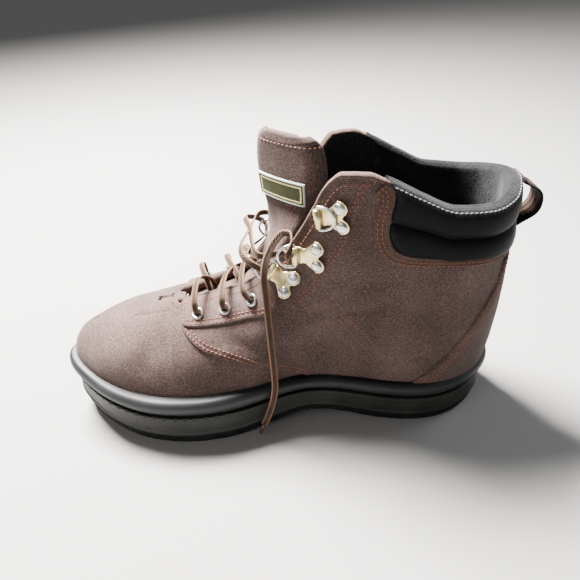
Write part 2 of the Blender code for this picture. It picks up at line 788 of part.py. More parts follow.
def make_collar_band(layer):
    """The flat band stitched along the cuff's front and lower edge, right round the back."""
    band = panel("collar_band", *layer)
    boolean(band, cuff_prism("band_cut", BAND_WIDTH, BAND_WIDTH * 0.72), "INTERSECT")
    boolean(band, bpy.data.objects["cuff_cut"], "DIFFERENCE")


def make_cuff():
    """The padded cuff: its section carried round the collar from one front edge to the other."""
    up, out = (np.array(column) for column in zip(*CUFF_SECTION))
    swell = np.where(out > 0, out * CUFF_OUTWARD, out * CUFF_INWARD)
    steps = np.array([0.0, 0.015, 0.05, 0.12, 0.22, 0.34, 0.46, 0.58, 0.70, 0.81, 0.91, 1.0])
    taper = np.sqrt(np.clip(1 - (1 - np.minimum(steps / 0.10, 1)) ** 2, 0.12, 1))
    loops = []
    for side in (NEAR, FAR):
        x, z = cuff_front(up)
        corner_k, corner_v = find_place(side, float(x[0]), float(z[0]))
        front = np.array([find_place(side, float(a), float(b)) for a, b in zip(x, z)])
        rise = np.where(up > 1, up, (front[:, 1] - corner_v) / (1 - corner_v))
        half = []
        for step, swelling in zip(steps, taper):
            low_v = cuff_low_row(side, corner_k * (1 - step), corner_k)[0]
            k = front[:, 0] * (1 - step)
            v = low_v + rise * (1 - low_v)
            point = surface(side, k, v) + surface_normal(side, k, v) * (swell * swelling)[:, None]
            point[:, 2] += 2 * GAP * np.clip(1 - up / 0.2, 0, 1)
            point[:, 0] -= 2 * GAP * (1 - step) ** 8
            half.append(point)
        loops.append(half)
    near, far = loops
    near[-1][:, 1] = 0.0
    sweep_loops("collar_cuff", near + far[-2::-1], "padding")
    return near[-1][out > 0]


def sweep_loops(name, loops, finish, closed=False):
    """A solid through a row of closed loops of equal count; its ends are fans of thin strips."""
    loops = [np.asarray(loop, float) for loop in loops]
    count = len(loops[0])
    points = np.concatenate(loops)
    faces = []
    rings = len(loops)
    for i in range(rings if closed else rings - 1):
        after = (i + 1) % rings
        for j in range(count):
            k = (j + 1) % count
            faces.append([i * count + j, i * count + k, after * count + k, after * count + j])
    if not closed:
        faces += cap(range(count))
        faces += cap(range((rings - 1) * count, rings * count))
    return add_object(name, points, faces, finish)


def cap(ring):
    """Strips that close a loop: point i of one half is joined to the matching point of the other."""
    ring = list(ring)
    count = len(ring)
    strips = []
    for i in range((count - 1) // 2):
        quad = [ring[i], ring[i + 1], ring[count - 2 - i], ring[count - 1 - i]]
        quad = list(dict.fromkeys(quad))
        if len(quad) > 2:
            strips.append(quad)
    return strips


def sole_stations(count=38):
    """Places from heel to toe, closer together at the round ends."""
    turn = np.linspace(0, math.pi, count)
    share = 0.5 - 0.5 * np.cos(turn)
    return 0.82 * share + 0.18 * np.linspace(0, 1, count)


SOLE_SHARES = sole_stations()


def sole_loop(offset, level):
    """The tread outline moved outward by offset at one level of the stack, as a closed loop."""
    medial, _ = outline_point(NEAR, SOLE_SHARES, np.full(len(SOLE_SHARES), offset))
    lateral, _ = outline_point(FAR, SOLE_SHARES[1:-1], np.full(len(SOLE_SHARES) - 2, offset))
    flat = np.concatenate([medial, lateral[::-1]])
    return np.column_stack([flat, layer_height(flat[:, 0], level)])


def sole_layer(name, profile, finish):
    """A slab from a profile of (offset, level, lift) rows, closed by strips from side to side."""
    loops = []
    for offset, level, lift in profile:
        loop = sole_loop(offset, level)
        loop[:, 2] += lift
        loops.append(loop)
    count = len(loops[0])
    points = np.concatenate(loops)
    faces = []
    for i in range(len(loops) - 1):
        for j in range(count):
            k = (j + 1) % count
            faces.append([i * count + j, i * count + k, (i + 1) * count + k, (i + 1) * count + j])
    stations = len(SOLE_SHARES)
    for base in (0, (len(loops) - 1) * count):
        for j in range(stations - 1):
            quad = [base + j, base + j + 1, base + (count - j - 1) % count, base + (count - j) % count]
            faces.append(list(dict.fromkeys(quad)))
    return add_object(name, points, faces, finish)


def make_sole():
    felt = ((-TREAD_INSET - 0.0008, 0.0, 0.0), (-TREAD_INSET, 0.03, 0.0), (-TREAD_INSET, FELT_TOP, -GAP / 2))
    sole_layer("felt_outsole", felt, "felt")
    midsole = (
        (-0.0010, FELT_TOP, GAP / 2),
        (0.0004, FELT_TOP + 0.03, 0.0),
        (-0.0004, FELT_TOP + 0.08, 0.0),
        (0.0002, MIDSOLE_TOP - 0.08, 0.0),
        (0.0000, MIDSOLE_TOP - 0.02, 0.0),
        (-0.0008, MIDSOLE_TOP, 0.0),
    )
    sole_layer("midsole", midsole, "olive_rubber")


def make_rand():
    """The rubber band round the upper's foot: groove, proud lip, and a top that slopes to the cloth."""
    profile = (
        # offset from the tread outline, level
        (-GROOVE_DEPTH, MIDSOLE_TOP),
        (-GROOVE_DEPTH, LIP_BOTTOM - 0.02),
        (LIP_PROUD * 0.55, LIP_BOTTOM),
        (LIP_PROUD, LIP_BOTTOM + 0.07),
        (LIP_PROUD * 0.75, FEATHER - 0.06),
        (LIP_PROUD * 0.05, FEATHER - 0.005),
    )
    loops = []
    order = [(NEAR, k) for k in RIB_STEPS] + [(FAR, k) for k in RIB_STEPS[-2:0:-1]]
    for side, k in order:
        foot = monotone(KNOTS, COLUMNS["foot"], k)
        section = []
        for offset, level in profile:
            point, _ = outline_point(side, foot, offset)
            lift = GAP if level == MIDSOLE_TOP else 0.0
            section.append((*point, float(layer_height(point[0], level)) + lift))
        x_in = surface(side, k, 0.1)[0]
        heights = (layer_height(x_in, FEATHER), layer_height(x_in, LIP_BOTTOM), layer_height(x_in, MIDSOLE_TOP) + GAP)
        for height in heights:
            v = max(float(row_at_height(side, k, height)[0]), 0.0)
            inner = surface(side, k, v) + surface_normal(side, k, max(v, 0.02)) * (2 * GAP)
            section.append((inner[0], inner[1], float(height)))
        loops.append(section)
    return sweep_loops("rubber_rand", loops, "rubber", closed=True)


def make_insole():
    inset = -(UPPER_INSET + WALL + 4 * GAP)
    low, high = GAP, INSOLE_THICKNESS
    profile = ((inset, MIDSOLE_TOP, low), (inset, MIDSOLE_TOP, high), (inset - 0.002, MIDSOLE_TOP, high + 0.0008))
    sole_layer("insole", profile, "padding")


def tongue_sheet():
    """Front surface of the tongue: rows from under the vamp up to its free, turned top."""
    clear = WALL + 5 * GAP
    rows = []
    for rib, reach, bulge in TONGUE:
        row = {}
        for side in (NEAR, FAR):
            v = 1 - 0.012 - reach * np.array(TONGUE_STEPS[::-1])
            row[side] = surface(side, rib, v) - surface_normal(side, rib, v) * clear
        middle = 0.5 * (row[NEAR][-1] + row[FAR][-1])
        ahead = surface(NEAR, min(rib + 0.5, 18.4), 1.0) - surface(NEAR, rib - 0.5, 1.0)
        front = np.array([-ahead[2], 0.0, ahead[0]]) / math.hypot(ahead[0], ahead[2]) * bulge * ANKLE_WIDTH
        if np.linalg.norm(row[NEAR][-1] - row[FAR][-1]) < 0.008:
            front = front - (0.0, 0.0, 0.0002)
        shoulders = [0.5 * (row[side][-1] + middle) + front * 0.75 for side in (NEAR, FAR)]
        rows.append(np.concatenate([row[FAR], [shoulders[1], middle + front, shoulders[0]], row[NEAR][::-1]]))
    across, forward = (np.array(column)[:, None] for column in zip(*TONGUE_SECTION))
    for high, along, half, turn in TONGUE_FREE:
        turn = math.radians(turn)
        sideways = np.array([-math.sin(turn), math.cos(turn), 0.0]) * half * ANKLE_WIDTH
        facing = np.array([math.cos(turn), math.sin(turn), 0.0]) * half * ANKLE_WIDTH
        centre = np.array([float(place_along(along)), 0.0, TONGUE_TOP * high])
        rows.append(centre + across * sideways + forward * facing)
    return np.array(rows)


def grid_faces(rows, columns):
    faces = []
    for i in range(rows - 1):
        for j in range(columns - 1):
            faces.append([i * columns + j, i * columns + j + 1, (i + 1) * columns + j + 1, (i + 1) * columns + j])
    return faces


def make_tongue():
    rows = tongue_sheet()
    faces = grid_faces(*rows.shape[:2])
    points = rows.reshape(-1, 3)
    faces = orient(points, faces, np.array([1.0, 0.2, 0.6]))
    thick_sheet("tongue", points, faces, -TONGUE_THICKNESS, 0.0, "canvas")
    return rows


def make_label(rows):
    """The bare patch across the tongue's turned face."""
    low, high = (rows[len(TONGUE) + i] for i in LABEL_ROWS)
    columns = np.arange(len(low))
    middle = (len(low) - 1) / 2
    grid = []
    for share in (0.03, 0.5, 0.95):
        line = low + (high - low) * share
        width = np.cumsum(np.concatenate([[0], np.linalg.norm(np.diff(line, axis=0), axis=1)]))
        centre = np.interp(middle, columns, width)
        at = centre + np.linspace(-0.5, 0.5, 9) * LABEL_WIDTH
        grid.append(np.stack([np.interp(at, width, line[:, i]) for i in range(3)], axis=1))
    grid = np.array(grid)
    faces = orient(grid.reshape(-1, 3), grid_faces(*grid.shape[:2]), np.array([1.0, 1.0, 0.0]))
    clear = 3 * GAP
    thick_sheet("tongue_label", grid.reshape(-1, 3), faces, clear, clear + LABEL_THICKNESS, "label")


def make_pull_loop(cuff_back):
    """A webbing loop sewn to the back of the cuff at both ends; cuff_back is the cuff's profile there."""
    low = cuff_back[:, 2].min()
    deep = cuff_back[:, 2].max() - low
    out = cuff_back[:, 0].min() - LOOP_STAND
    route = []
    for share, stand in LOOP_ROUTE:
        z = low + share * deep
        sewn = np.interp(z, cuff_back[:, 2], cuff_back[:, 0]) - 1.3 * GAP
        route.append((sewn * (1 - stand) + out * stand, 0.0, z))
    path = open_spline(route, 18)
    grid = np.array([path + (0.0, y, 0.0) for y in np.linspace(-0.5, 0.5, 3) * LOOP_WIDTH])
    faces = orient(grid.reshape(-1, 3), grid_faces(*grid.shape[:2]), np.array([-1.0, 0.0, 0.0]))
    thick_sheet("pull_loop", grid.reshape(-1, 3), faces, 0.0, LOOP_THICKNESS, "webbing")


def frame_at(side, x, z, layers):
    """A point on top of the given layers, with the outward normal there."""
    k, v = find_place(side, x, z)
    normal = surface_normal(side, k, v)
    return surface(side, k, v) + normal * layers, normal


def turned(profile, centre, axis, count):
    """Rings of points from a profile of (radius, height) turned about an axis."""
    axis = axis / np.linalg.norm(axis)
    first = np.cross(axis, (0.0, 0.0, 1.0))
    first /= np.linalg.norm(first)
    second = np.cross(axis, first)
    angle = np.arange(count) * 2 * math.pi / count
    spokes = np.cos(angle)[:, None] * first + np.sin(angle)[:, None] * second
    return [centre + spokes * radius + axis * height for radius, height in profile]


def make_eyelets(base, holes):
    """Flanged eyelets through the wall and the holes that they pass through; returns their tops."""
    count = 8
    tops = {}
    for name, side in SIDES.items():
        for number, (along, height, high) in enumerate(EYELETS, start=1):
            x, z = float(place_along(along)), HEIGHTS[height] * high
            point, normal = frame_at(side, x, z, base)
            flat = seat_height(point, normal, base, lambda p: np.linalg.norm(np.cross(p, normal), axis=1) < EYELET_FLANGE)
            low = -(base + WALL) + 0.0002
            profile = (
                (EYELET_HOLE, low),
                (EYELET_BARREL, low),
                (EYELET_BARREL, flat + GAP),
                (EYELET_FLANGE, flat + GAP * 1.3),
                (EYELET_FLANGE - 0.0009, flat + 0.0014),
                (EYELET_HOLE, flat + 0.0010),
            )
            rings = turned(profile, point, normal, count)
            loops = [np.array([ring[i] for ring in rings]) for i in range(count)]
            sweep_loops(f"eyelet_{name}_{number}", loops, "nickel", closed=True)
            drilled = EYELET_BARREL + HOLE_CLEARANCE
            hole = turned(((drilled, low - 0.004), (drilled, 0.003)), point, normal, count)
            drill = sweep_loops(f"eyelet_drill_{name}_{number}", hole, "canvas")
            drill.hide_render = True
            drill.display_type = "WIRE"
            for target in holes[name]:
                boolean(bpy.data.objects[target], drill, "DIFFERENCE")
            tops[name, number] = (point + normal * (flat + 0.0014), normal)
    return tops


def plate_frame(side, row, layers):
    """Origin under the barrel's axis, with along (to the rivets), across (the axis) and normal."""
    _, barrel_along, barrel_high, rivet_along, rivet_high = row
    start, _ = frame_at(side, float(place_along(barrel_along)), FACING_HEIGHT * barrel_high, layers)
    end, normal = frame_at(side, float(place_along(rivet_along)), FACING_HEIGHT * rivet_high, layers)
    along = (end - start) / np.linalg.norm(end - start)
    normal = normal - along * np.dot(normal, along)
    normal /= np.linalg.norm(normal)
    across = np.cross(normal, along)
    start = end - along * PLATE_REACH

    def under_plate(offset):
        wide = np.abs(offset @ across) < RIVET_PITCH / 2 + LOBE_RADIUS
        ahead = offset @ along
        return wide & (ahead > -BARREL_WALL - 2 * WIRE_RADIUS) & (ahead < PLATE_REACH + LOBE_RADIUS) & (
            np.abs(offset @ normal) < PLATE_REACH / 2
        )

    stand = seat_height(start, normal, layers, under_plate) + GAP
    return start + normal * stand, along, across, normal


def plate_outline():
    """Half-turn lobes round the two rivets, and a neck that narrows from the barrel."""
    half = BARREL_LENGTH / 2
    lobe = RIVET_PITCH / 2
    angles = np.radians(np.linspace(-105, 60, 6))
    lower = [
        (PLATE_REACH + LOBE_RADIUS * math.cos(a), -lobe + LOBE_RADIUS * math.sin(a)) for a in angles
    ]
    upper = [(x, -y) for x, y in reversed(lower)]
    neck = PLATE_REACH * 0.45
    return [(0.0, -half * 0.96), (neck, -half * 0.86), *lower, *upper, (neck, half * 0.86), (0.0, half * 0.96)]


def to_world(frame, local):
    origin, along, across, normal = frame
    local = np.asarray(local, float)
    return origin + local[:, :1] * along + local[:, 1:2] * across + local[:, 2:3] * normal


def make_plate(name, frame):
    """A stamped plate whose front edge is rolled into a tube for the ring's straight side."""
    outer = WIRE_RADIUS + GAP * 1.3 + BARREL_WALL
    inner = WIRE_RADIUS + GAP * 1.3
    axis_height = barrel_axis_height()
    loops = [to_world(frame, [(x, y, z) for x, y in plate_outline()]) for z in (0.0, PLATE_THICKNESS)]
    plate = sweep_polygon(name, loops)
    count = 8
    angle = (np.arange(count) + 0.5) * 2 * math.pi / count
    rings = []
    for radius, y in (
        (outer, -BARREL_LENGTH / 2), (outer, BARREL_LENGTH / 2), (inner, BARREL_LENGTH / 2), (inner, -BARREL_LENGTH / 2),
    ):
        rings.append([(radius * math.cos(a), y, axis_height + radius * math.sin(a)) for a in angle])
    sections = [to_world(frame, [ring[i] for ring in rings]) for i in range(count)]
    barrel = sweep_loops(f"{name}_barrel", sections, "nickel", closed=True)
    barrel.hide_render = True
    barrel.display_type = "WIRE"
    boolean(plate, barrel, "UNION")
    return plate


def sweep_polygon(name, loops):
    """A flat solid between two equal outlines, with one face on each."""
    count = len(loops[0])
    points = np.concatenate(loops)
    faces = [list(range(count))[::-1], list(range(count, 2 * count))]
    for i in range(count):
        j = (i + 1) % count
        faces.append([i, j, j + count, i + count])
    return add_object(name, points, faces, "nickel")


def barrel_axis_height():
    return max(PLATE_THICKNESS + WIRE_RADIUS + 2 * GAP, WIRE_RADIUS + GAP * 1.3 + BARREL_WALL)


def ring_path(count=13):
    """The D ring's middle line: a straight side in the barrel and a bow of RING_REACH."""
    half = BARREL_LENGTH / 2 + GAP * 2 + WIRE_RADIUS
    bow = [
        (RING_REACH * math.sin(t) ** 0.8, -half * math.cos(t) * (1.0 if 0 < t < math.pi else 1.0))
        for t in np.linspace(0.0, math.pi, count - 2)
    ]
    return [(x, y) for x, y in bow] + [(0.0, half * 0.4), (0.0, -half * 0.4)]


def make_ring(name, frame, lift_degrees):
    """The wire D ring, turned about the barrel's axis by lift from lying back on the plate."""
    turn = math.radians(lift_degrees)
    height = barrel_axis_height()
    path = np.array([(x * math.cos(turn), y, height + x * math.sin(turn)) for x, y in ring_path()])
    world = to_world(frame, path)
    return closed_wire(name, world, WIRE_RADIUS, 5)


def closed_wire(name, path, radius, count):
    """A round wire along a closed flat path."""
    centre = path.mean(axis=0)
    normal = np.cross(path[1] - path[0], path[len(path) // 2] - path[0])
    normal /= np.linalg.norm(normal)
    loops = []
    for i, point in enumerate(path):
        ahead = path[(i + 1) % len(path)] - point
        behind = point - path[i - 1]
        tangent = ahead / np.linalg.norm(ahead) + behind / np.linalg.norm(behind)
        tangent /= np.linalg.norm(tangent)
        outward = np.cross(tangent, normal)
        bend = np.dot(ahead, behind) / np.linalg.norm(ahead) / np.linalg.norm(behind)
        stretch = 1.0 / max(math.sqrt(0.5 + 0.5 * bend), 0.75)
        angle = (np.arange(count) + 0.5) * 2 * math.pi / count
        loops.append(
            point + radius * (np.cos(angle)[:, None] * outward * stretch + np.sin(angle)[:, None] * normal)
        )
    return sweep_loops(name, loops, "nickel", closed=True)


def make_rivets(name, frame):
    origin, along, across, normal = frame
    for number, side in enumerate((-1, 1), start=1):
        centre = origin + along * PLATE_REACH + across * side * RIVET_PITCH / 2
        centre = centre + normal * (PLATE_THICKNESS + GAP)
        profile = ((RIVET_RADIUS, 0.0), (RIVET_RADIUS * 0.88, RIVET_RISE * 0.6), (RIVET_RADIUS * 0.45, RIVET_RISE))
        rings = turned(profile, centre, normal, 7)
        sweep_loops(f"{name}_rivet_{number}", rings, "nickel")


def make_ring_plates(layers):
    frames = {}
    for name, side in SIDES.items():
        for row in RING_PLATES:
            frame = plate_frame(side, row, layers)
            key = f"{name}_{row[0]}"
            make_plate(f"ring_plate_{key}", frame)
            make_rivets(f"ring_plate_{key}", frame)
            lift = {"low": 150, "mid": 150, "top": 0}[row[0]]
            make_ring(f"d_ring_{key}", frame, lift)
            frames[key] = (frame, lift)
    return frames


def tube(name, path, radius, count, finish):
    """A round tube with flat ends along an open path, with one steady up direction."""
    path = np.asarray(path, float)
    tangent = np.gradient(path, axis=0)
    tangent /= np.linalg.norm(tangent, axis=1)[:, None]
    first = np.cross(tangent[0], (0.0, 0.0, 1.0))
    first /= np.linalg.norm(first)
    loops = []
    for point, ahead in zip(path, tangent):
        first = first - ahead * np.dot(first, ahead)
        first /= np.linalg.norm(first)
        second = np.cross(ahead, first)
        angle = (np.arange(count) + 0.5) * 2 * math.pi / count
        loops.append(point + radius * (np.cos(angle)[:, None] * first + np.sin(angle)[:, None] * second))
    return sweep_loops(name, loops, finish)


def strand(first, last, rise, ahead):
    """A lace strand: it leaves one anchor's route, bows over the throat and joins the other's."""
    middle = (first[-1] + last[-1]) / 2 + np.array([ahead, 0.0, rise])
    return squared(open_spline([*first, middle, *reversed(last)], 12), first, last)


def squared(path, first, last=None):
    """The path with a short straight start (and end), so that its flat faces stand square to it."""
    way = (first[1] - first[0]) / np.linalg.norm(first[1] - first[0])
    path = np.concatenate([path[:1], path[:1] + way * 0.0012, path[1:]])
    if last is not None:
        way = (last[1] - last[0]) / np.linalg.norm(last[1] - last[0])
        path = np.concatenate([path[:-1], path[-1:] + way * 0.0012, path[-1:]])
    return path


def lace_anchors(frames, tops):
    """The way a strand takes at each eyelet, ring or facing edge, from its end towards the throat."""
    anchors = {}
    for name, side in SIDES.items():
        for number in range(1, len(EYELETS) + 1):
            point, normal = tops[name, number]
            start = point + normal * 1.3 * GAP
            anchors[f"eyelet_{name}_{number}"] = [start, start + normal * 0.009]
        for number, rib in ((2, 14.4), (3, 13.2)):
            edge = surface(side, rib, 1.0)
            normal = surface_normal(side, rib, 0.97)
            start = edge + normal * 0.0046 + np.array([0.0, -side * 0.001, 0.0])
            anchors[f"edge_{name}_{number}"] = [start, start + normal * 0.009]
        for level in ("low", "mid"):
            (origin, along, _, normal), lift = frames[f"{name}_{level}"]
            turn = math.radians(lift)
            way = along * math.cos(turn) + normal * math.sin(turn)
            centre = origin + normal * barrel_axis_height() + way * RING_REACH * 0.52
            through = normal - way * np.dot(way, normal)
            through /= np.linalg.norm(through)
            routes = {
                # name: (through the ring, along the ring's reach), in metres
                "in": ((-0.0010, 0.0), (-0.0060, 0.0)),
                "inner": ((-0.0010, 0.0), (-0.0046, 0.0000), (-0.0058, 0.0060), (-0.0030, 0.0140)),
                "out": ((-0.0006, 0.0), (0.0050, 0.0)),
                "over": ((0.0010, 0.0), (0.0042, 0.0012), (0.0047, 0.0079), (0.0015, 0.0146)),
            }
            for key, steps in routes.items():
                anchors[f"{key}_{name}_{level}"] = [centre + through * a + way * b for a, b in steps]
    return anchors


LACE_CROSSINGS = (
    # start, end, rise, ahead
    ("eyelet_{}_1", "edge_{}_2", 0.006, 0.000),
    ("eyelet_{}_2", "edge_{}_3", 0.006, 0.000),
    ("eyelet_{}_3", "in_{}_low", 0.006, 0.006),
    ("over_{}_low", "inner_{}_mid", 0.005, 0.004),
)


def make_laces(frames, tops):
    anchors = lace_anchors(frames, tops)
    radius = LACE_WIDTH / 2
    for number, (start, end, rise, ahead) in enumerate(LACE_CROSSINGS, start=1):
        pair = []
        for a, b in (("medial", "lateral"), ("lateral", "medial")):
            pair.append(strand(anchors[start.format(a)], anchors[end.format(b)], rise, ahead))
        crossing = tube(f"lace_crossing_{number}", pair[0], radius, 6, "lace")
        other = tube(f"lace_other_{number}", pair[1], radius, 6, "lace")
        other.hide_render = True
        other.display_type = "WIRE"
        boolean(crossing, other, "UNION")
    cord = bpy.data.curves.new("lace_end", "CURVE")
    cord.dimensions = "3D"
    cord.bevel_depth = radius
    cord.bevel_resolution = 1
    cord.use_fill_caps = True
    start = anchors["out_medial_mid"]
    points = squared(open_spline([*start, *LACE_END_ROUTE], 32), start)
    spline = cord.splines.new("POLY")
    spline.points.add(len(points) - 1)
    for target, point in zip(spline.points, points):
        target.co = (*map(float, point), 1.0)
    lace_end = bpy.data.objects.new("lace_end", cord)
    cord.materials.append(material("lace"))
    bpy.context.scene.collection.objects.link(lace_end)
    way = np.array(LACE_TIP_END) - points[-1]
    start = points[-1] + way * 0.06
    tip = [start, start + way * 0.3, start + way * 0.94]
    tube("lace_tip", tip, radius * 0.8, 8, "lace")


def main():
    clear_scene()
    quarter = (GAP, GAP + CANVAS)
    overlay = (quarter[1] + GAP, quarter[1] + GAP + CANVAS)
    make_upper()
    make_quarters(quarter)
    make_eyestays(overlay)
    make_counter(overlay)
    make_collar_band(overlay)
    cuff_back = make_cuff()
    make_rand()
    make_sole()
    make_insole()
    rows = make_tongue()
    make_label(rows)
    make_pull_loop(cuff_back)
    holes = {name: ("upper", f"quarter_{name}", f"eyestay_{name}") for name in SIDES}
    tops = make_eyelets(overlay[1], holes)
    frames = make_ring_plates(quarter[1])
    make_laces(frames, tops)


main()
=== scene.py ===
# %% [markdown]
# A wading boot for the right foot, empty, standing on its felt sole. The frame holds the solids of
# every piece at their real size. This lesson puts the real surfaces round them: woven canvas with
# its seams, the padded collar, moulded rubber, felt, plated fittings and a flat braided lace.
# Lengths are in metres, +X points to the toe, +Y to the medial side and +Z up.

# %% Load the frame and keep its box
import math

import bmesh
import bpy
import numpy as np
from mathutils import Matrix


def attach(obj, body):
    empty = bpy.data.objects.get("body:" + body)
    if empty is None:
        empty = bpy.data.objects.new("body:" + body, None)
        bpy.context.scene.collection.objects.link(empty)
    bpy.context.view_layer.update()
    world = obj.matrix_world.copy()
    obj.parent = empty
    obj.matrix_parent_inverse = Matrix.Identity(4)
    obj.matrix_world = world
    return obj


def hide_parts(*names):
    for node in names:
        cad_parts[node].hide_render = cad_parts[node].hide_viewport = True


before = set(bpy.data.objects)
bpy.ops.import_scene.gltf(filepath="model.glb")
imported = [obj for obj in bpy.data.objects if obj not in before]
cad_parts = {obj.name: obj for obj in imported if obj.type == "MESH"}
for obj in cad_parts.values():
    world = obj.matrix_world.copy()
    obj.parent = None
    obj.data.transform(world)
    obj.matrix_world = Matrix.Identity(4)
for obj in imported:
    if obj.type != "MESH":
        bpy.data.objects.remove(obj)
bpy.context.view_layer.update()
NEAR, FAR = 1, -1
SIDES = {"medial": NEAR, "lateral": FAR}
MM = 0.001

# %% [markdown]
# The camera comes first, because everything is judged through it. A photograph taken from close by
# has strong perspective: the toe looks big and the collar leans back. A 31 mm lens at 0.43 m from
# the boot gives the same picture; a longer lens from further off would flatten it.

# %% Camera
CAMERA_PLACE = (0.09997, 0.30474, 0.30011)
CAMERA_YAW = -0.01
CAMERA_PITCH = 0.60
CAMERA_ROLL = -0.03
LENS = 31.03
SENSOR = 36.0


def unit(vectors):
    """The same directions with length 1, along the last axis."""
    return vectors / np.linalg.norm(vectors, axis=-1, keepdims=True)


def axes_matrix(right, up, back, place):
    """The matrix whose columns are right, up, back and place, as cameras and lamps want it."""
    matrix = np.eye(4)
    matrix[:3, :4] = np.stack([right, up, back, np.array(place)], axis=1)
    return Matrix(matrix.tolist())


def camera_matrix(place, yaw, pitch, roll):
    """Back turns by yaw and leans up by pitch; right and up turn about it by roll."""
    flat = math.cos(pitch)
    back = np.array([math.sin(yaw) * flat, math.cos(yaw) * flat, math.sin(pitch)])
    right = unit(np.cross(-back, (0.0, 0.0, 1.0)))
    up = np.cross(right, -back)
    turned_right = right * math.cos(roll) + up * math.sin(roll)
    turned_up = up * math.cos(roll) - right * math.sin(roll)
    return axes_matrix(turned_right, turned_up, back, place)


camera_data = bpy.data.cameras.new("photo_camera")
camera_data.lens = LENS
camera_data.sensor_width = SENSOR
camera_data.clip_start = 0.01
camera = bpy.data.objects.new("photo_camera", camera_data)
camera.matrix_world = camera_matrix(CAMERA_PLACE, CAMERA_YAW, CAMERA_PITCH, CAMERA_ROLL)
bpy.context.scene.collection.objects.link(camera)
bpy.context.scene.camera = camera
print("camera at", [round(c, 3) for c in camera.location])

# %% [markdown]
# A few small helpers carry the rest. One turns the hex colours that people read off a screen into
# the linear values that a shader wants. Another adds a node with its settings and its links, and
# the others name what nearly every material here does with it.

# %% Colour and node helpers


def colour(hex_code, alpha=1.0):
    """Linear RGBA of an sRGB hex colour: (c + 0.055) / 1.055 to the power 2.4 above the knee."""
    parts = [int(hex_code[i : i + 2], 16) / 255 for i in (1, 3, 5)]
    linear = [p / 12.92 if p <= 0.04045 else ((p + 0.055) / 1.055) ** 2.4 for p in parts]
    return (*linear, alpha)


def node(tree, kind, links=None, **settings):
    """Adds a node; links maps a socket's name or number to another socket or to a plain value."""
    made = tree.nodes.new(kind)
    for key, value in settings.items():
        setattr(made, key, value)
    for key, value in (links or {}).items():
        if isinstance(value, bpy.types.NodeSocket):
            tree.links.new(value, made.inputs[key])
        else:
            made.inputs[key].default_value = value
    return made


def calc(tree, operation, *values):
    """Output of a Math node; each value is another socket or a plain number."""
    return node(tree, "ShaderNodeMath", dict(enumerate(values)), operation=operation).outputs[0]


def noise(tree, where, scale, detail):
    """Noise fixed to the piece in metres: its clouds are about 1 / scale across."""
    links = {"Vector": where.outputs["Object"], "Scale": scale, "Detail": detail}
    return node(tree, "ShaderNodeTexNoise", links).outputs["Fac"]


def new_material(name, **sockets):
    """A material with its Principled shader's own sockets set; returns material, tree and shader."""
    made = bpy.data.materials.new(name)
    made.use_nodes = True
    shader = made.node_tree.nodes["Principled BSDF"]
    for key, value in sockets.items():
        shader.inputs[key.replace("_", " ")].default_value = value
    return made, made.node_tree, shader


def ramp(tree, factor, stops):
    """A colour ramp with (position, hex colour) stops."""
    made = node(tree, "ShaderNodeValToRGB", {"Fac": factor})
    points = made.color_ramp.elements
    while len(points) < len(stops):
        points.new(0.5)
    for point, (position, code) in zip(points, stops):
        point.position = position
        point.color = colour(code)
    return made.outputs["Color"]


def tone_by(tree, shader, factor, stops):
    """Lets a ramp over the factor give the base colour."""
    tree.links.new(ramp(tree, factor, stops), shader.inputs["Base Color"])


def roughness_by(tree, shader, factor, low, high):
    """Lets the factor move the roughness between two values."""
    rough = node(tree, "ShaderNodeMapRange", {"Value": factor, 3: low, 4: high})
    tree.links.new(rough.outputs[0], shader.inputs["Roughness"])


def bump(tree, shader, height, distance, strength=1.0, before=None):
    """Bump of the given depth in metres, on top of an earlier one if there is one."""
    links = {"Height": height, "Distance": distance, "Strength": strength}
    if before is not None:
        links["Normal"] = before
    made = node(tree, "ShaderNodeBump", links)
    tree.links.new(made.outputs["Normal"], shader.inputs["Normal"])
    return made.outputs["Normal"]


# %% [markdown]
# Plain studio: one strong panel, like the sun, stands above and behind the boot, towards the toe.
# It lights the toe's top and leaves the near side in shade. The floor's paint is mid grey and looks
# almost white under that panel; a white floor would throw its light back up and lose the shade.

# %% Floor and lights
FLOOR_DROP = 0.0002
FLOOR_HALF = 6.0
AIR_STRENGTH = 0.30
FLOOR_CORNERS = ((-1, -1), (1, -1), (1, 1), (-1, 1))
floor_mesh = bpy.data.meshes.new("studio_floor")
floor_points = [(x * FLOOR_HALF, y * FLOOR_HALF, -FLOOR_DROP) for x, y in FLOOR_CORNERS]
floor_mesh.from_pydata(floor_points, [], [(0, 1, 2, 3)])
floor = bpy.data.objects.new("studio_floor", floor_mesh)
bpy.context.scene.collection.objects.link(floor)
floor_paint, _, _ = new_material("matt_grey_floor_paint", Base_Color=colour("#7f7f7e"), Roughness=0.9)
floor_mesh.materials.append(floor_paint)

LIGHTS = (
    # name, place, aim, width, watts, colour
    ("sun_panel", (0.52, -0.46, 1.10), (0.08, 0.0, 0.05), 0.50, 420.0, "#fffaf6"),
    ("toe_fill", (0.95, 0.75, 0.75), (0.10, 0.0, 0.06), 0.7, 6.0, "#fff6f0"),
    ("heel_rim", (-0.80, -0.35, 0.80), (0.00, 0.0, 0.12), 0.5, 6.0, "#f2f6ff"),
)
for name, place, aim, width, watts, tint in LIGHTS:
    lamp = bpy.data.lights.new(name, "AREA")
    lamp.size = width
    lamp.energy = watts
    lamp.color = colour(tint)[:3]
    lamp_object = bpy.data.objects.new(name, lamp)
    back = unit(np.array(place) - np.array(aim))
    right = unit(np.cross((0.0, 0.0, 1.0), back))
    lamp_object.matrix_world = axes_matrix(right, np.cross(back, right), back, place)
    bpy.context.scene.collection.objects.link(lamp_object)

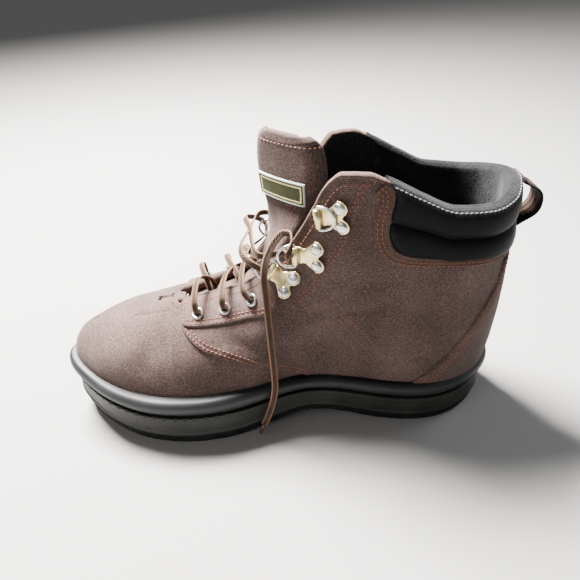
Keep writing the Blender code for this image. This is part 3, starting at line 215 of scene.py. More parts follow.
world = bpy.data.worlds.new("studio_air")
world.use_nodes = True
air = world.node_tree.nodes["Background"]
air.inputs["Color"].default_value = colour("#ffffff")
air.inputs["Strength"].default_value = AIR_STRENGTH
bpy.context.scene.world = world
print("lights:", [row[0] for row in LIGHTS])

# %% [markdown]
# Woven nylon canvas. The cloth is a plain weave of thick textured yarn, brushed a little, so it is
# matt, shows a grain of lighter fibre ends, and has a soft sheen at grazing angles. The weave is
# worked out on the piece's own UV map, which is laid out in millimetres: where the product of two
# sine waves is positive the warp is on top, and elsewhere the weft.

# %% Canvas
THREAD_PITCH_MM = 0.8
WEBBING_PITCH_MM = 1.2
FIBRE_SCALE = 900.0
CLOUD_SCALE = 28.0
FIBRE_DEPTH = 0.00018


def weave_height(tree, uv, pitch):
    """Height of a plain weave: |sin| of the thread on top, which swaps in a chequer of one pitch."""
    split = node(tree, "ShaderNodeSeparateXYZ", {0: uv})
    turns = [calc(tree, "MULTIPLY", split.outputs[axis], math.pi / pitch) for axis in ("X", "Y")]
    waves = [calc(tree, "SINE", turn) for turn in turns]
    warp_on_top = calc(tree, "GREATER_THAN", calc(tree, "MULTIPLY", *waves), 0.0)
    sizes = [calc(tree, "ABSOLUTE", wave) for wave in waves]
    mixed = node(tree, "ShaderNodeMix", {0: warp_on_top, 2: sizes[0], 3: sizes[1]}, data_type="FLOAT")
    return mixed.outputs[0]


def canvas_material(name, shade, mid, light, weave_depth=0.00012):
    """Woven cloth with three tones: painted shade between the threads, the threads' tops, and brushed fibre
    ends.
    """
    made, tree, shader = new_material(
        name, Roughness=0.86, Sheen_Weight=0.05, Sheen_Roughness=0.45, Specular_IOR_Level=0.12
    )
    where = node(tree, "ShaderNodeTexCoord")
    height = weave_height(tree, where.outputs["UV"], THREAD_PITCH_MM)
    fibre = noise(tree, where, FIBRE_SCALE, 3.0)
    cloud = noise(tree, where, CLOUD_SCALE, 4.0)
    grain = calc(tree, "MULTIPLY", fibre, 0.55)
    # The weave's height lightens the threads and darkens the hollows between them: painted shade.
    grain = calc(tree, "MULTIPLY_ADD", height, 0.30, grain)
    grain = calc(tree, "MULTIPLY_ADD", cloud, 0.30, grain)
    tone_by(tree, shader, grain, ((0.30, shade), (0.60, mid), (0.86, light)))
    woven = bump(tree, shader, height, weave_depth)
    bump(tree, shader, fibre, FIBRE_DEPTH, 0.8, woven)
    return made


CANVAS = canvas_material("brushed_woven_nylon_canvas", "#1d1614", "#3c2e2a", "#6b5a56")
CANVAS_EDGE = canvas_material("folded_canvas_binding", "#1d1410", "#392a24", "#64514a")
LINING, tree, shader = new_material(
    "black_spacer_mesh_lining", Roughness=0.9, Sheen_Weight=0.05, Specular_IOR_Level=0.2
)
# Knitted spacer mesh: open black cells about 2 mm apart, each darker in its middle as painted shade in the
# hole
where = node(tree, "ShaderNodeTexCoord")
cells = node(tree, "ShaderNodeTexVoronoi", {"Vector": where.outputs["Object"], "Scale": 500.0})
tone_by(tree, shader, cells.outputs["Distance"], ((0.1, "#070708"), (0.7, "#1b1b1e")))
bump(tree, shader, cells.outputs["Distance"], 0.0004)

# %% [markdown]
# The collar's knit is two cloths: a smooth matt knit on the puffs, and a napped fleece on the roll
# that touches the sock. Both are nearly black. What tells them apart is the nap: deeper, coarser
# bump and more sheen, so the fleece catches light as grey fuzz.

# %% Collar knit, fleece and webbing


def fuzzy_material(name, dark, light, scale, depth, sheen, roughness=0.85):
    """A napped or knitted cloth: noise of one fibre size in tone and bump, with sheen."""
    made, tree, shader = new_material(
        name, Roughness=roughness, Sheen_Weight=sheen, Sheen_Roughness=0.5, Specular_IOR_Level=0.08
    )
    where = node(tree, "ShaderNodeTexCoord")
    nap = calc(tree, "MULTIPLY", noise(tree, where, scale, 5.0), 0.6)
    mixed = calc(tree, "MULTIPLY_ADD", noise(tree, where, scale / 6, 2.0), 0.4, nap)
    tone_by(tree, shader, mixed, ((0.35, dark), (0.70, light)))
    bump(tree, shader, mixed, depth)
    return made


PUFF_KNIT = fuzzy_material("smooth_black_collar_knit", "#030304", "#08090b", 1400.0, 0.0001, 0.0, 0.6)
FLEECE = fuzzy_material("napped_black_fleece", "#040506", "#1b1c20", 700.0, 0.0008, 0.05)
SOCK_LINER = fuzzy_material("grey_insole_cloth", "#121316", "#2c2e32", 900.0, 0.0002, 0.2)

# Webbing: dark tape about 20 mm wide with two outer stripes and a middle one, U in mm across it
WEBBING, tree, shader = new_material("striped_polyester_webbing", Roughness=0.8, Specular_IOR_Level=0.1)
WEBBING_STRIPES = (
    (0.0, "#0c0a0a"), (0.16, "#3a2a22"), (0.34, "#0e0c0b"), (0.42, "#4a372d"),
    (0.58, "#0e0c0b"), (0.66, "#3a2a22"), (0.84, "#0c0a0a"),
)
where = node(tree, "ShaderNodeTexCoord")
split = node(tree, "ShaderNodeSeparateXYZ", {0: where.outputs["UV"]})
tone_by(tree, shader, calc(tree, "MULTIPLY", split.outputs["X"], 0.05), WEBBING_STRIPES)
bump(tree, shader, weave_height(tree, where.outputs["UV"], WEBBING_PITCH_MM), 0.0003)

# %% [markdown]
# The sole is three materials. Carbon-black rubber with a satin mould skin makes the band, a filled
# olive-grey rubber with a dusty skin makes the midsole, and the tread is needled felt, a mat of
# short fibres cut square, so its edge is rough and dark.

# %% Rubber and felt


def rubber_material(name, dark, light, roughness, depth):
    """Moulded rubber: faint clouds of bloom in tone and roughness, and a fine mould grain."""
    made, tree, shader = new_material(name, Roughness=roughness, Specular_IOR_Level=0.25)
    where = node(tree, "ShaderNodeTexCoord")
    bloom = noise(tree, where, 45.0, 6.0)
    tone_by(tree, shader, bloom, ((0.35, dark), (0.68, light)))
    roughness_by(tree, shader, bloom, roughness - 0.08, roughness + 0.12)
    bump(tree, shader, noise(tree, where, 1500.0, 2.0), depth)
    return made


BAND_RUBBER = rubber_material("satin_black_foxing_rubber", "#0d0f11", "#181b1d", 0.50, 0.00006)
MIDSOLE_RUBBER = rubber_material("olive_grey_filled_rubber", "#131412", "#22231f", 0.55, 0.00015)
FELT = fuzzy_material("needled_dark_felt", "#070808", "#1f2021", 520.0, 0.0010, 0.04, 0.95)

# %% [markdown]
# Fittings are stamped steel with a pale gold or a nickel plate. Plating is a thin mirror over a
# slightly rough base: metallic 1, low roughness that wanders with handling, tiny rub marks.

# %% Plated metal


def plated_material(name, tone, worn, roughness):
    """Plated steel: two near tones in soft clouds, and fine random rub marks in the roughness."""
    made, tree, shader = new_material(name, Metallic=1.0, Roughness=roughness)
    where = node(tree, "ShaderNodeTexCoord")
    rub = noise(tree, where, 260.0, 8.0)
    tone_by(tree, shader, rub, ((0.35, worn), (0.65, tone)))
    roughness_by(tree, shader, rub, roughness - 0.08, roughness + 0.16)
    bump(tree, shader, rub, 0.00004)
    return made


PALE_GOLD = plated_material("pale_gold_plated_steel", "#e2d3a4", "#b7a67a", 0.26)
NICKEL = plated_material("nickel_plated_steel", "#d2d2cf", "#9c9c98", 0.22)

# %% [markdown]
# Sewing thread is bonded polyester in rust brown, a little glossy. The lace is a flat braid: tan
# yarn along both edges and a dark middle with a chevron of light pips. Its UV map runs across the
# braid in X (0 to 1) and along it in millimetres in Y, so the pattern follows every bend.

# %% Thread and lace
THREAD, _, _ = new_material("rust_bonded_polyester_thread", Base_Color=colour("#663524"), Roughness=0.6)
GREY_THREAD, _, _ = new_material("grey_bonded_polyester_thread", Base_Color=colour("#55575b"), Roughness=0.5)

BRAID, tree, shader = new_material("flat_braided_polyester_lace", Roughness=0.75, Specular_IOR_Level=0.15)
PIP_PITCH_MM = 1.5
PIP_SLANT = 5.0
BRAID_CORE = 0.30
where = node(tree, "ShaderNodeTexCoord")
split = node(tree, "ShaderNodeSeparateXYZ", {0: where.outputs["UV"]})
across = calc(tree, "ABSOLUTE", calc(tree, "SUBTRACT", split.outputs["X"], 0.5))
slant = calc(tree, "MULTIPLY_ADD", across, PIP_SLANT, split.outputs["Y"])
pips = calc(tree, "SINE", calc(tree, "MULTIPLY", slant, 2 * math.pi / PIP_PITCH_MM))
core = ramp(tree, calc(tree, "GREATER_THAN", pips, 0.75), ((0.0, "#060404"), (1.0, "#6b5444")))
rim = ramp(tree, pips, ((0.0, "#59402f"), (1.0, "#8d6d59")))
in_core = calc(tree, "LESS_THAN", across, BRAID_CORE)
braid_tone = node(tree, "ShaderNodeMix", {0: in_core, 6: rim, 7: core}, data_type="RGBA")
tree.links.new(braid_tone.outputs[2], shader.inputs["Base Color"])
bump(tree, shader, pips, 0.00025)

LABEL_FIELD = canvas_material("olive_woven_label", "#23261a", "#383c26", "#4a4f33", 0.00005)
LABEL_LINE, _, _ = new_material("pale_yellow_label_thread", Base_Color=colour("#c9c27e"), Roughness=0.6)
LABEL_RIM, _, _ = new_material("silver_grey_label_thread", Base_Color=colour("#8f9490"), Roughness=0.5)
print("materials:", len(bpy.data.materials))

# %% [markdown]
# A boot's cloth follows the last, the form it is pulled over. The last here is one function: ribs
# start at the feather line, where cloth meets sole, and rise to the top line. Every panel, seam and
# stitch reads its place from it, so layers lie on each other without fitting. Modelling each panel
# by eye would be quicker to start and would never line up.

# %% Driving sizes of the last, as in the solids
SOLE_LENGTH = 0.318
HEEL_SETBACK = 0.048
ANKLE_WIDTH = 0.082
BALL_WIDTH = 0.113
WIDTHS = {"heel": 0.087, "waist": 0.087, "ball": BALL_WIDTH}
INSTEP_HEIGHT = 0.093
COLLAR_HEIGHT = 0.172
FACING_HEIGHT = 0.194
HEIGHTS = {"toe": 0.0795, "instep": INSTEP_HEIGHT, "collar": COLLAR_HEIGHT, "facing": FACING_HEIGHT}
HEEL_STACK = 0.038
BALL_STACK = 0.0425
ARCH_LIFT = 0.0075
TOE_SPRING = 0.010
UPPER_INSET = 0.0045
WALL = 0.0022
GAP = 0.0003
CANVAS_THICK = 0.0012
QUARTER_LAYER = GAP + CANVAS_THICK
OVERLAY_LAYER = 2 * QUARTER_LAYER
FELT_TOP, MIDSOLE_TOP, FEATHER = 0.19, 0.62, 1.0

OUTLINE = (
    # along, width, medial, lateral
    (0.000, "heel", 0.000, 0.000), (0.044, "heel", 0.313, 0.305), (0.135, "heel", 0.510, 0.489),
    (0.292, "waist", 0.501, 0.500), (0.450, "waist", 0.486, 0.523), (0.607, "ball", 0.519, 0.460),
    (0.748, "ball", 0.559, 0.445), (0.858, "ball", 0.481, 0.323), (0.943, "ball", 0.334, 0.097),
    (1.000, "ball", 0.106, -0.106),
)
SOLE_FLOOR = (
    # along, arch, spring
    (0.000, 0.0, 0.15), (0.050, 0.0, 0.00), (0.245, 0.0, 0.00), (0.434, 1.0, 0.00),
    (0.610, 0.0, 0.00), (0.796, 0.0, 0.00), (0.906, 0.0, 0.35), (1.000, 0.0, 1.00),
)
MIDDLE = (
    # along, medial
    (0.000, 0.000), (0.450, 0.000), (0.607, 0.030), (0.748, 0.055), (0.858, 0.082), (1.000, 0.106),
)
RIBS = (
    # foot, along, half, height, high, lean, rise, spread, drop
    (0.000, 0.022, 0.000, "collar", 1.040, 0.050, 0.33, 0.02, 0.33),
    (0.066, 0.045, 0.290, "collar", 1.016, 0.045, 0.33, 0.02, 0.33),
    (0.128, 0.097, 0.450, "collar", 0.996, 0.030, 0.33, 0.01, 0.33),
    (0.190, 0.164, 0.495, "collar", 1.002, 0.010, 0.33, 0.00, 0.33),
    (0.250, 0.228, 0.505, "collar", 1.050, 0.005, 0.33, 0.00, 0.33),
    (0.310, 0.290, 0.505, "facing", 0.980, 0.005, 0.33, 0.00, 0.33),
    (0.358, 0.335, 0.490, "facing", 1.006, 0.005, 0.33, 0.01, 0.33),
    (0.392, 0.372, 0.455, "facing", 1.003, 0.005, 0.34, 0.02, 0.33),
    (0.415, 0.398, 0.410, "facing", 0.962, 0.005, 0.35, 0.03, 0.33),
    (0.436, 0.418, 0.370, "facing", 0.890, 0.005, 0.37, 0.05, 0.32),
    (0.470, 0.450, 0.320, "facing", 0.785, 0.010, 0.40, 0.07, 0.27),
    (0.504, 0.484, 0.290, "facing", 0.706, 0.020, 0.43, 0.10, 0.20),
    (0.540, 0.522, 0.240, "facing", 0.634, 0.030, 0.45, 0.14, 0.15),
    (0.582, 0.570, 0.165, "instep", 1.165, 0.030, 0.46, 0.20, 0.11),
    (0.630, 0.628, 0.120, "instep", 1.085, 0.030, 0.46, 0.26, 0.07),
    (0.678, 0.685, 0.100, "instep", 1.025, 0.030, 0.46, 0.31, 0.05),
    (0.710, 0.722, 0.085, "instep", 0.995, 0.030, 0.46, 0.34, 0.03),
    (0.728, 0.737, 0.000, "instep", 1.000, 0.030, 0.46, 0.36, 0.00),
    (0.770, 0.780, 0.000, "instep", 0.975, 0.030, 0.46, 0.36, 0.00),
    (0.830, 0.830, 0.000, "toe", 1.110, 0.055, 0.44, 0.38, 0.01),
    (0.890, 0.872, 0.000, "toe", 1.070, 0.080, 0.40, 0.40, 0.03),
    (0.945, 0.900, 0.000, "toe", 1.028, 0.100, 0.36, 0.41, 0.06),
    (1.000, 0.914, 0.000, "toe", 1.000, 0.110, 0.34, 0.42, 0.08),
)
THROAT_RIB = 17
TOE_RIB = len(RIBS) - 1

# %% Curves through listed values
CURVE_STEPS = 40


def resample(line, at, wanted):
    """Every column of a line, whose points lie at the distances at, read at the wanted distances."""
    return np.stack([np.interp(wanted, at, column) for column in line.T], axis=-1)


def catmull(a, b, c, d, t):
    """Half of 2b + (c - a) t + (2a - 5b + 4c - d) t^2 + (3b - a - 3c + d) t^3, from b to c."""
    return 0.5 * (2 * b + (c - a) * t + (2 * a - 5 * b + 4 * c - d) * t**2 + (3 * b - a - 3 * c + d) * t**3)


def bell(x, width):
    """exp(-(x / width)^2)."""
    return np.exp(-((x / width) ** 2))


def soft_step(x):
    """Rises from 0 to 1 round x = 0: 1 / (1 + exp(-x)), held where exp would overflow."""
    return 1 / (1 + np.exp(-np.clip(x, -60, 60)))


def round_over(distance, radius):
    """A quarter circle: 0 at an edge and 1 from one radius inward."""
    return np.sqrt(1 - (1 - np.clip(distance / radius, 0, 1)) ** 2)


def side_to_side(count):
    """Numbers from -1 to 1 that lie closer together at both ends."""
    return np.sin(np.linspace(-1, 1, count) * math.pi / 2)

def monotone(knots, values, at):
    """Cubic Hermite through the knots with harmonic-mean slopes, so that it never overshoots."""
    knots = np.asarray(knots, float)
    values = np.asarray(values, float)
    width = np.diff(knots)
    slope = np.diff(values) / width
    tangent = np.zeros_like(values)
    rising = slope[:-1] * slope[1:] > 0
    heavy = 2 * width[1:] + width[:-1]
    light = width[1:] + 2 * width[:-1]
    first = np.where(rising, slope[:-1], 1.0)
    second = np.where(rising, slope[1:], 1.0)
    tangent[1:-1] = np.where(rising, (heavy + light) / (heavy / first + light / second), 0.0)
    tangent[0] = slope[0]
    tangent[-1] = slope[-1]
    at = np.clip(at, knots[0], knots[-1])
    i = np.clip(np.searchsorted(knots, at, side="right") - 1, 0, len(width) - 1)
    t = (at - knots[i]) / width[i]
    h = width[i]
    return (
        (2 * t**3 - 3 * t**2 + 1) * values[i] + (t**3 - 2 * t**2 + t) * h * tangent[i]
        + (3 * t**2 - 2 * t**3) * values[i + 1] + (t**3 - t**2) * h * tangent[i + 1]
    )


def smooth_line(points, count):
    """Evenly parted points on the Catmull-Rom curve through the given ones."""
    points = np.asarray(points, float)
    extended = np.concatenate([[2 * points[0] - points[1]], points, [2 * points[-1] - points[-2]]])
    t = np.linspace(0, 1, 24, endpoint=False)[:, None]
    spans = [catmull(*four, t) for four in zip(extended, extended[1:], extended[2:], extended[3:])]
    return evenly(np.concatenate(spans + [points[-1:]]), count)


def lengths(line):
    """Distance along a line of points, from its start."""
    return np.concatenate([[0], np.cumsum(np.linalg.norm(np.diff(line, axis=0), axis=1))])


def evenly(line, count):
    """The same line with its points the same distance apart."""
    at = lengths(line)
    return resample(line, at, np.linspace(0, at[-1], count))


def closed_curve(points):
    """Dense points of the periodic cubic spline through the given ones, spaced by their chords."""
    count = len(points)
    step = np.linalg.norm(np.roll(points, -1, axis=0) - points, axis=1)
    system = np.zeros((count, count))
    right = np.zeros_like(points)
    for i in range(count):
        after = (i + 1) % count
        system[i, i - 1] = step[i - 1]
        system[i, i] = 2 * (step[i - 1] + step[i])
        system[i, after] = step[i]
        right[i] = 6 * ((points[after] - points[i]) / step[i] - (points[i] - points[i - 1]) / step[i - 1])
    bend = np.linalg.solve(system, right)
    t = np.linspace(0, 1, CURVE_STEPS, endpoint=False)[:, None]
    spans = []
    for i in range(count):
        after = (i + 1) % count
        ease = ((1 - t) ** 3 - (1 - t)) * bend[i] + (t**3 - t) * bend[after]
        spans.append((1 - t) * points[i] + t * points[after] + step[i] ** 2 / 6 * ease)
    return np.concatenate(spans)


# %% The outline and the stack's heights


def place_along(share):
    """X of a share of the sole's length, from the heel."""
    return np.asarray(share) * SOLE_LENGTH - HEEL_SETBACK


def share_along(x):
    """Share of the sole's length at an X."""
    return (np.asarray(x) + HEEL_SETBACK) / SOLE_LENGTH


def half_outlines():
    """For each side: shares of the way from heel to toe, the line's points and outward normals."""
    medial = [(place_along(a), WIDTHS[w] * m) for a, w, m, _ in OUTLINE]
    lateral = [(place_along(a), -WIDTHS[w] * m) for a, w, _, m in OUTLINE]
    loop = closed_curve(np.array(medial + lateral[-2:0:-1]))
    toe = CURVE_STEPS * (len(OUTLINE) - 1)
    built = {}
    for side, line in ((NEAR, loop[: toe + 1]), (FAR, np.concatenate([loop[toe:], loop[:1]])[::-1])):
        tangent = np.gradient(line, axis=0)
        tangent[0] = (0, side)
        tangent[-1] = (0, -side)
        tangent = unit(tangent)
        at = lengths(line)
        built[side] = (at / at[-1], line, side * np.stack([-tangent[:, 1], tangent[:, 0]], axis=1))
    return built


HALVES = half_outlines()


def outline_point(side, share, offset=0.0):
    """The tread's outline at a share of the way round one side, moved outward by offset."""
    shares, line, normal = HALVES[side]
    share = np.asarray(share, float)
    outward = unit(resample(normal, shares, share))
    return resample(line, shares, share) + np.asarray(offset)[..., None] * outward, outward


def layer_height(x, level):
    """Height of a sole layer: the stack's share, the toe's spring, and the arch, which fades upward."""
    along, arch, spring = zip(*SOLE_FLOOR)
    at = np.clip(share_along(x), 0, 1)
    rise = np.clip((share_along(x) - 0.21) / 0.25, 0, 1)
    stack = HEEL_STACK + (BALL_STACK - HEEL_STACK) * rise * rise * (3 - 2 * rise)
    lift = ARCH_LIFT * monotone(along, arch, at) * (1 - level)
    return stack * level + TOE_SPRING * monotone(along, spring, at) + lift


# %% The last's surface


def rib_columns():
    """The table's columns with one mirrored rib added past the heel and one past the toe."""
    foot, along, half, names, high, lean, rise, spread, drop = zip(*RIBS)
    height = [HEIGHTS[name] * share for name, share in zip(names, high)]
    half = np.array(half) * ANKLE_WIDTH
    columns = {
        "foot": np.concatenate([[-foot[1]], foot, [2 - foot[-2]]]),
        "half": np.concatenate([[-half[1]], half, [half[-2]]]),
    }
    even = {"x": place_along(along), "z": height, "lean": lean, "rise": rise, "spread": spread, "drop": drop}
    for name, values in even.items():
        columns[name] = np.concatenate([[values[1]], values, [values[-2]]])
    return columns


COLUMNS = rib_columns()
KNOTS = np.arange(-1, len(RIBS) + 1)


def one_side(side, k, v):
    """A cubic Bezier rib: it leaves the feather line leaning out and meets the top line from outside."""
    value = {name: monotone(KNOTS, column, k) for name, column in COLUMNS.items()}
    base, outward = outline_point(side, value["foot"], np.full(np.shape(k), -UPPER_INSET))
    a = np.concatenate([base, (layer_height(base[..., 0], MIDSOLE_TOP) + GAP)[..., None]], axis=-1)
    middle = BALL_WIDTH * monotone(*zip(*MIDDLE), share_along(value["x"]))
    d = np.stack([value["x"], middle + side * value["half"], value["z"]], axis=-1)
    reach = np.linalg.norm(d - a, axis=-1)[..., None]
    flat = np.concatenate([outward, np.zeros_like(outward[..., :1])], axis=-1)
    up = np.array([0.0, 0.0, 1.0])
    lean, rise, spread, drop = (value[n][..., None] * reach for n in ("lean", "rise", "spread", "drop"))
    b = a + lean * flat + rise * up
    c = d + spread * flat - drop * up
    t = np.clip(v, 0, 1)[..., None]
    point = (1 - t) ** 3 * a + 3 * t * (1 - t) ** 2 * b + 3 * t**2 * (1 - t) * c + t**3 * d
    return point + np.maximum(v - 1, 0)[..., None] * 3 * (d - c)


def skin(q, v):
    """Point of the last: q is the rib, counted positive on the medial side and negative on the other."""
    q, v = np.broadcast_arrays(np.asarray(q, float), np.asarray(v, float))
    return np.where((q >= 0)[..., None], one_side(NEAR, np.abs(q), v), one_side(FAR, np.abs(q), v))


def skin_normal(q, v):
    """Outward unit normal: the cross product of the steps up the rib and along the boot."""
    q, v = np.broadcast_arrays(np.asarray(q, float), np.asarray(v, float))
    e = 0.01
    normal = np.zeros(q.shape + (3,))
    k = np.minimum(np.abs(q), TOE_RIB - 2 * e)
    v = np.clip(v, e, 1.0)
    for side in (NEAR, FAR):
        along = one_side(side, k + e, v) - one_side(side, k - e, v)
        up = one_side(side, k, v) - one_side(side, k, v - e)
        mine = (q >= 0) if side == NEAR else (q < 0)
        normal = np.where(mine[..., None], side * np.cross(up, along), normal)
    centre = np.abs(q)[..., None] < e / 2
    normal = np.where(centre, normal * (1.0, 0.0, 1.0), normal)
    return unit(normal)


# %% [markdown]
# Cloth on an empty boot isn't taut. The main creases are listed one by one, each a soft trough beside
# a soft ridge along a short line in the boot's own measures. They move the last's surface itself,
# so that every layer, seam and stitch follows them and none cuts through its neighbour.

# %% Creases
CREASES = (
    # side, from (along, share of INSTEP_HEIGHT), to (along, share), depth and width in mm
    ("medial", (0.465, 1.010), (0.250, 1.150), 0.9, 3.6),
    ("medial", (0.350, 1.300), (0.250, 1.345), 0.5, 3.0),
    ("medial", (0.640, 0.860), (0.500, 0.760), 0.8, 5.0),
    ("medial", (0.590, 0.560), (0.450, 0.620), 0.6, 6.0),
    ("medial", (0.860, 0.960), (0.960, 0.640), 0.9, 9.0),
    ("medial", (0.760, 0.900), (0.800, 0.620), 0.7, 7.0),
    ("lateral", (0.640, 0.860), (0.520, 0.640), 0.9, 5.0),
    ("lateral", (0.480, 1.000), (0.290, 1.120), 0.9, 4.0),
    ("lateral", (0.780, 0.880), (0.760, 0.600), 0.8, 7.0),
)

CREASE_FADE = 0.14
CROSSING = 0.004
RIPPLE_MM = 0.10


def relief(point):
    """Sum over the creases of trough minus ridge, -exp(-d^2) + 0.6 exp(-(d - 1.6)^2), faded at the ends."""
    total = np.zeros(point.shape[:-1])
    x, y, z = np.moveaxis(point, -1, 0)
    for side, start, end, depth, width in CREASES:
        a = np.array([place_along(start[0]), start[1] * INSTEP_HEIGHT])
        b = np.array([place_along(end[0]), end[1] * INSTEP_HEIGHT])
        way = (b - a) / np.linalg.norm(b - a)
        offset = point[..., (0, 2)] - a
        share = (offset @ way) / np.linalg.norm(b - a)
        d = (offset @ np.array([-way[1], way[0]])) / (width * MM) + 0.25 * np.sin(7 * share)
        fade = bell(np.clip(np.abs(share - 0.5) - 0.32, 0, None), CREASE_FADE)
        on_side = soft_step(y * SIDES[side] / CROSSING)
        total += depth * MM * fade * on_side * (0.6 * bell(d - 1.6, 1) - bell(d, 1))
    ripple = RIPPLE_MM * np.sin(x * 190 + 3 * np.sin(z * 60)) * np.sin(z * 150 + 1)
    return total + ripple * MM


def cloth(q, v, layer):
    """Point on a layer of cloth: the last, moved along its normal by the layer's height and creases."""
    base = skin(q, v)
    return base + skin_normal(q, v) * (np.asarray(layer) + relief(base))[..., None]


# %% Finding places on the last
# Rib 0 belongs to both sides; a rib number this small keeps a point on its own side of the heel
JUST_OFF = 1e-6
GRID_K = np.linspace(0, TOE_RIB, 441)
GRID_V = np.linspace(0, 1, 121)
GRIDS = {side: skin(side * np.maximum(GRID_K, JUST_OFF)[:, None], GRID_V[None, :]) for side in (NEAR, FAR)}


def find(side, rows, height):
    """(q, v) of each (along, share of height) place in the side view, by Newton steps from a grid."""
    rows = np.asarray(rows, float)
    target = np.stack([place_along(rows[:, 0]), rows[:, 1] * height], axis=1)
    found = []
    for x, z in target:
        miss = (GRIDS[side][..., 0] - x) ** 2 + (GRIDS[side][..., 2] - z) ** 2
        i, j = np.unravel_index(np.argmin(miss), miss.shape)
        found.append((GRID_K[i], GRID_V[j]))
    k, v = np.array(found).T
    for _ in range(4):
        k, v = settle_step(side, k, v, lambda p: target - p[:, (0, 2)], (0, 2))
    return np.stack([side * k, v], axis=1)


def settle_step(side, k, v, miss, axes):
    """One least-squares step of (k, v) that lessens miss(point) along the given axes."""
    e = 0.01
    here = one_side(side, k, v)
    along, up = ((one_side(side, k + e * a, v + e * b) - here) / e for a, b in ((1, 0), (0, 1)))
    steps = np.stack([along, up], axis=2)
    steps = steps[:, axes, :]
    gap = miss(here)
    square = np.einsum("nij,nik->njk", steps, steps) + np.eye(2) * 1e-12
    move = np.linalg.solve(square, np.einsum("nij,ni->nj", steps, gap)[..., None])[..., 0]
    k = np.clip(k + np.clip(move[:, 0], -0.3, 0.3), 0.001, TOE_RIB - 0.02)
    return k, np.clip(v + np.clip(move[:, 1], -0.05, 0.05), 0.001, 1.0)


def beside(line, distance):
    """The line on the skin at a distance to the left of a (q, v) line, seen from outside the boot."""
    line = np.asarray(line, float)
    point = skin(line[:, 0], line[:, 1])
    left = unit(np.cross(skin_normal(line[:, 0], line[:, 1]), np.gradient(point, axis=0)))
    target = point + left * np.asarray(distance)[..., None]
    out = line.copy()
    for side in (NEAR, FAR):
        mine = np.sign(line[:, 0]) == side
        if mine.any():
            k, v = np.abs(line[mine, 0]), line[mine, 1]
            for _ in range(5):
                k, v = settle_step(side, k, v, lambda p: target[mine] - p, (0, 1, 2))
            out[mine] = np.stack([side * k, v], axis=1)
    return out


def row_at(q, height):
    """The v at which each rib passes its height, read from a fine table up the rib."""
    v = np.linspace(0, 1, 161)
    z = skin(np.asarray(q)[:, None], v[None, :])[..., 2]
    z = np.maximum.accumulate(z, axis=1)
    return np.array([np.interp(h, row, v) for h, row in zip(np.broadcast_to(height, len(z)), z)])


print("last: heel point", np.round(skin(0, 0.5), 4), "toe point", np.round(skin(TOE_RIB, 0.5), 4))

# %% [markdown]
# All new surfaces are grids of points. These helpers turn a grid into a mesh, with quads between
# neighbours, a UV map in millimetres measured along the grid's own lines, and merged poles.

# %% Mesh helpers


def grid_quads(rows, columns, around=False):
    """Corner numbers of the quads of a grid; around joins the last column to the first."""
    i = np.arange(rows - 1)[:, None] * columns
    j = np.arange(columns if around else columns - 1)[None, :]
    after = (j + 1) % columns
    quads = np.stack([i + j, i + after, i + columns + after, i + columns + j], axis=-1)
    return quads.reshape(-1, 4)


def grid_uv(grid):
    """UV in millimetres: mean distance along the rows for U, mean distance down the columns for V."""
    down = np.linalg.norm(np.diff(grid, axis=0), axis=2).mean(axis=1)
    across = np.linalg.norm(np.diff(grid, axis=1), axis=2)
    u = np.concatenate([np.zeros((len(grid), 1)), np.cumsum(across, axis=1)], axis=1) / MM
    v = np.concatenate([[0], np.cumsum(down)]) / MM
    middle = u.shape[1] // 2
    u = u - u[:, middle : middle + 1]
    return np.stack([u, np.broadcast_to(v[:, None], u.shape)], axis=-1)


def add_mesh(name, points, faces, uv, finishes, body="boot", pick=None, merge=2e-5, outward=True):
    """A mesh object on a body; faces are corner lists, pick gives each face's material number."""
    points = np.asarray(points, float).reshape(-1, 3)
    faces = np.asarray(faces)
    mesh = bpy.data.meshes.new(name)
    mesh.from_pydata(points.tolist(), [], faces.tolist())
    layer = mesh.uv_layers.new(name="UVMap")
    corners = faces.reshape(-1)
    layer.data.foreach_set("uv", np.asarray(uv, float).reshape(-1, 2)[corners].ravel())
    for finish in finishes:
        mesh.materials.append(finish)
    if pick is not None:
        mesh.polygons.foreach_set("material_index", np.asarray(pick, np.int32))
    shape = bmesh.new()
    shape.from_mesh(mesh)
    bmesh.ops.remove_doubles(shape, verts=shape.verts, dist=merge)
    bmesh.ops.dissolve_degenerate(shape, edges=shape.edges, dist=1e-7)
    if outward:
        bmesh.ops.recalc_face_normals(shape, faces=shape.faces)
    shape.to_mesh(mesh)
    shape.free()
    mesh.shade_smooth()
    made = bpy.data.objects.new(name, mesh)
    bpy.context.scene.collection.objects.link(made)
    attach(made, body)
    return made


def rings_mesh(name, grids, finish, uvs=None, **settings):
    """One mesh of several grids whose rows are closed rings."""
    points, faces, uv, start = [], [], [], 0
    for number, grid in enumerate(grids):
        points.append(grid.reshape(-1, 3))
        faces.append(grid_quads(*grid.shape[:2], around=True) + start)
        uv.append((grid_uv(grid) if uvs is None else uvs[number]).reshape(-1, 2))
        start += len(points[-1])
    points, faces, uv = (np.concatenate(part) for part in (points, faces, uv))
    return add_mesh(name, points, faces, uv, [finish], **settings)


def closed_shell(name, outer, inner, finishes, uv=None, pick=None):
    """A solid between two grids of the same size: outer, inner turned round, and a rim between."""
    count = outer.shape[0] * outer.shape[1]
    quads = grid_quads(*outer.shape[:2])
    index = np.arange(count).reshape(outer.shape[:2])
    rim = [(index[0, 1:], index[0, :-1]), (index[-1, :-1], index[-1, 1:])]
    rim += [(index[:-1, 0], index[1:, 0]), (index[1:, -1], index[:-1, -1])]
    rims = [np.stack([a, b, b + count, a + count], axis=1) for a, b in rim]
    faces = np.concatenate([quads, quads[:, ::-1] + count, *rims])
    numbers = np.zeros(len(faces), int)
    if pick is not None:
        numbers[: len(quads)] = pick
    uv = (grid_uv(outer) if uv is None else uv).reshape(-1, 2)
    return add_mesh(name, np.stack([outer, inner]), faces, np.concatenate([uv, uv]), finishes, pick=numbers)


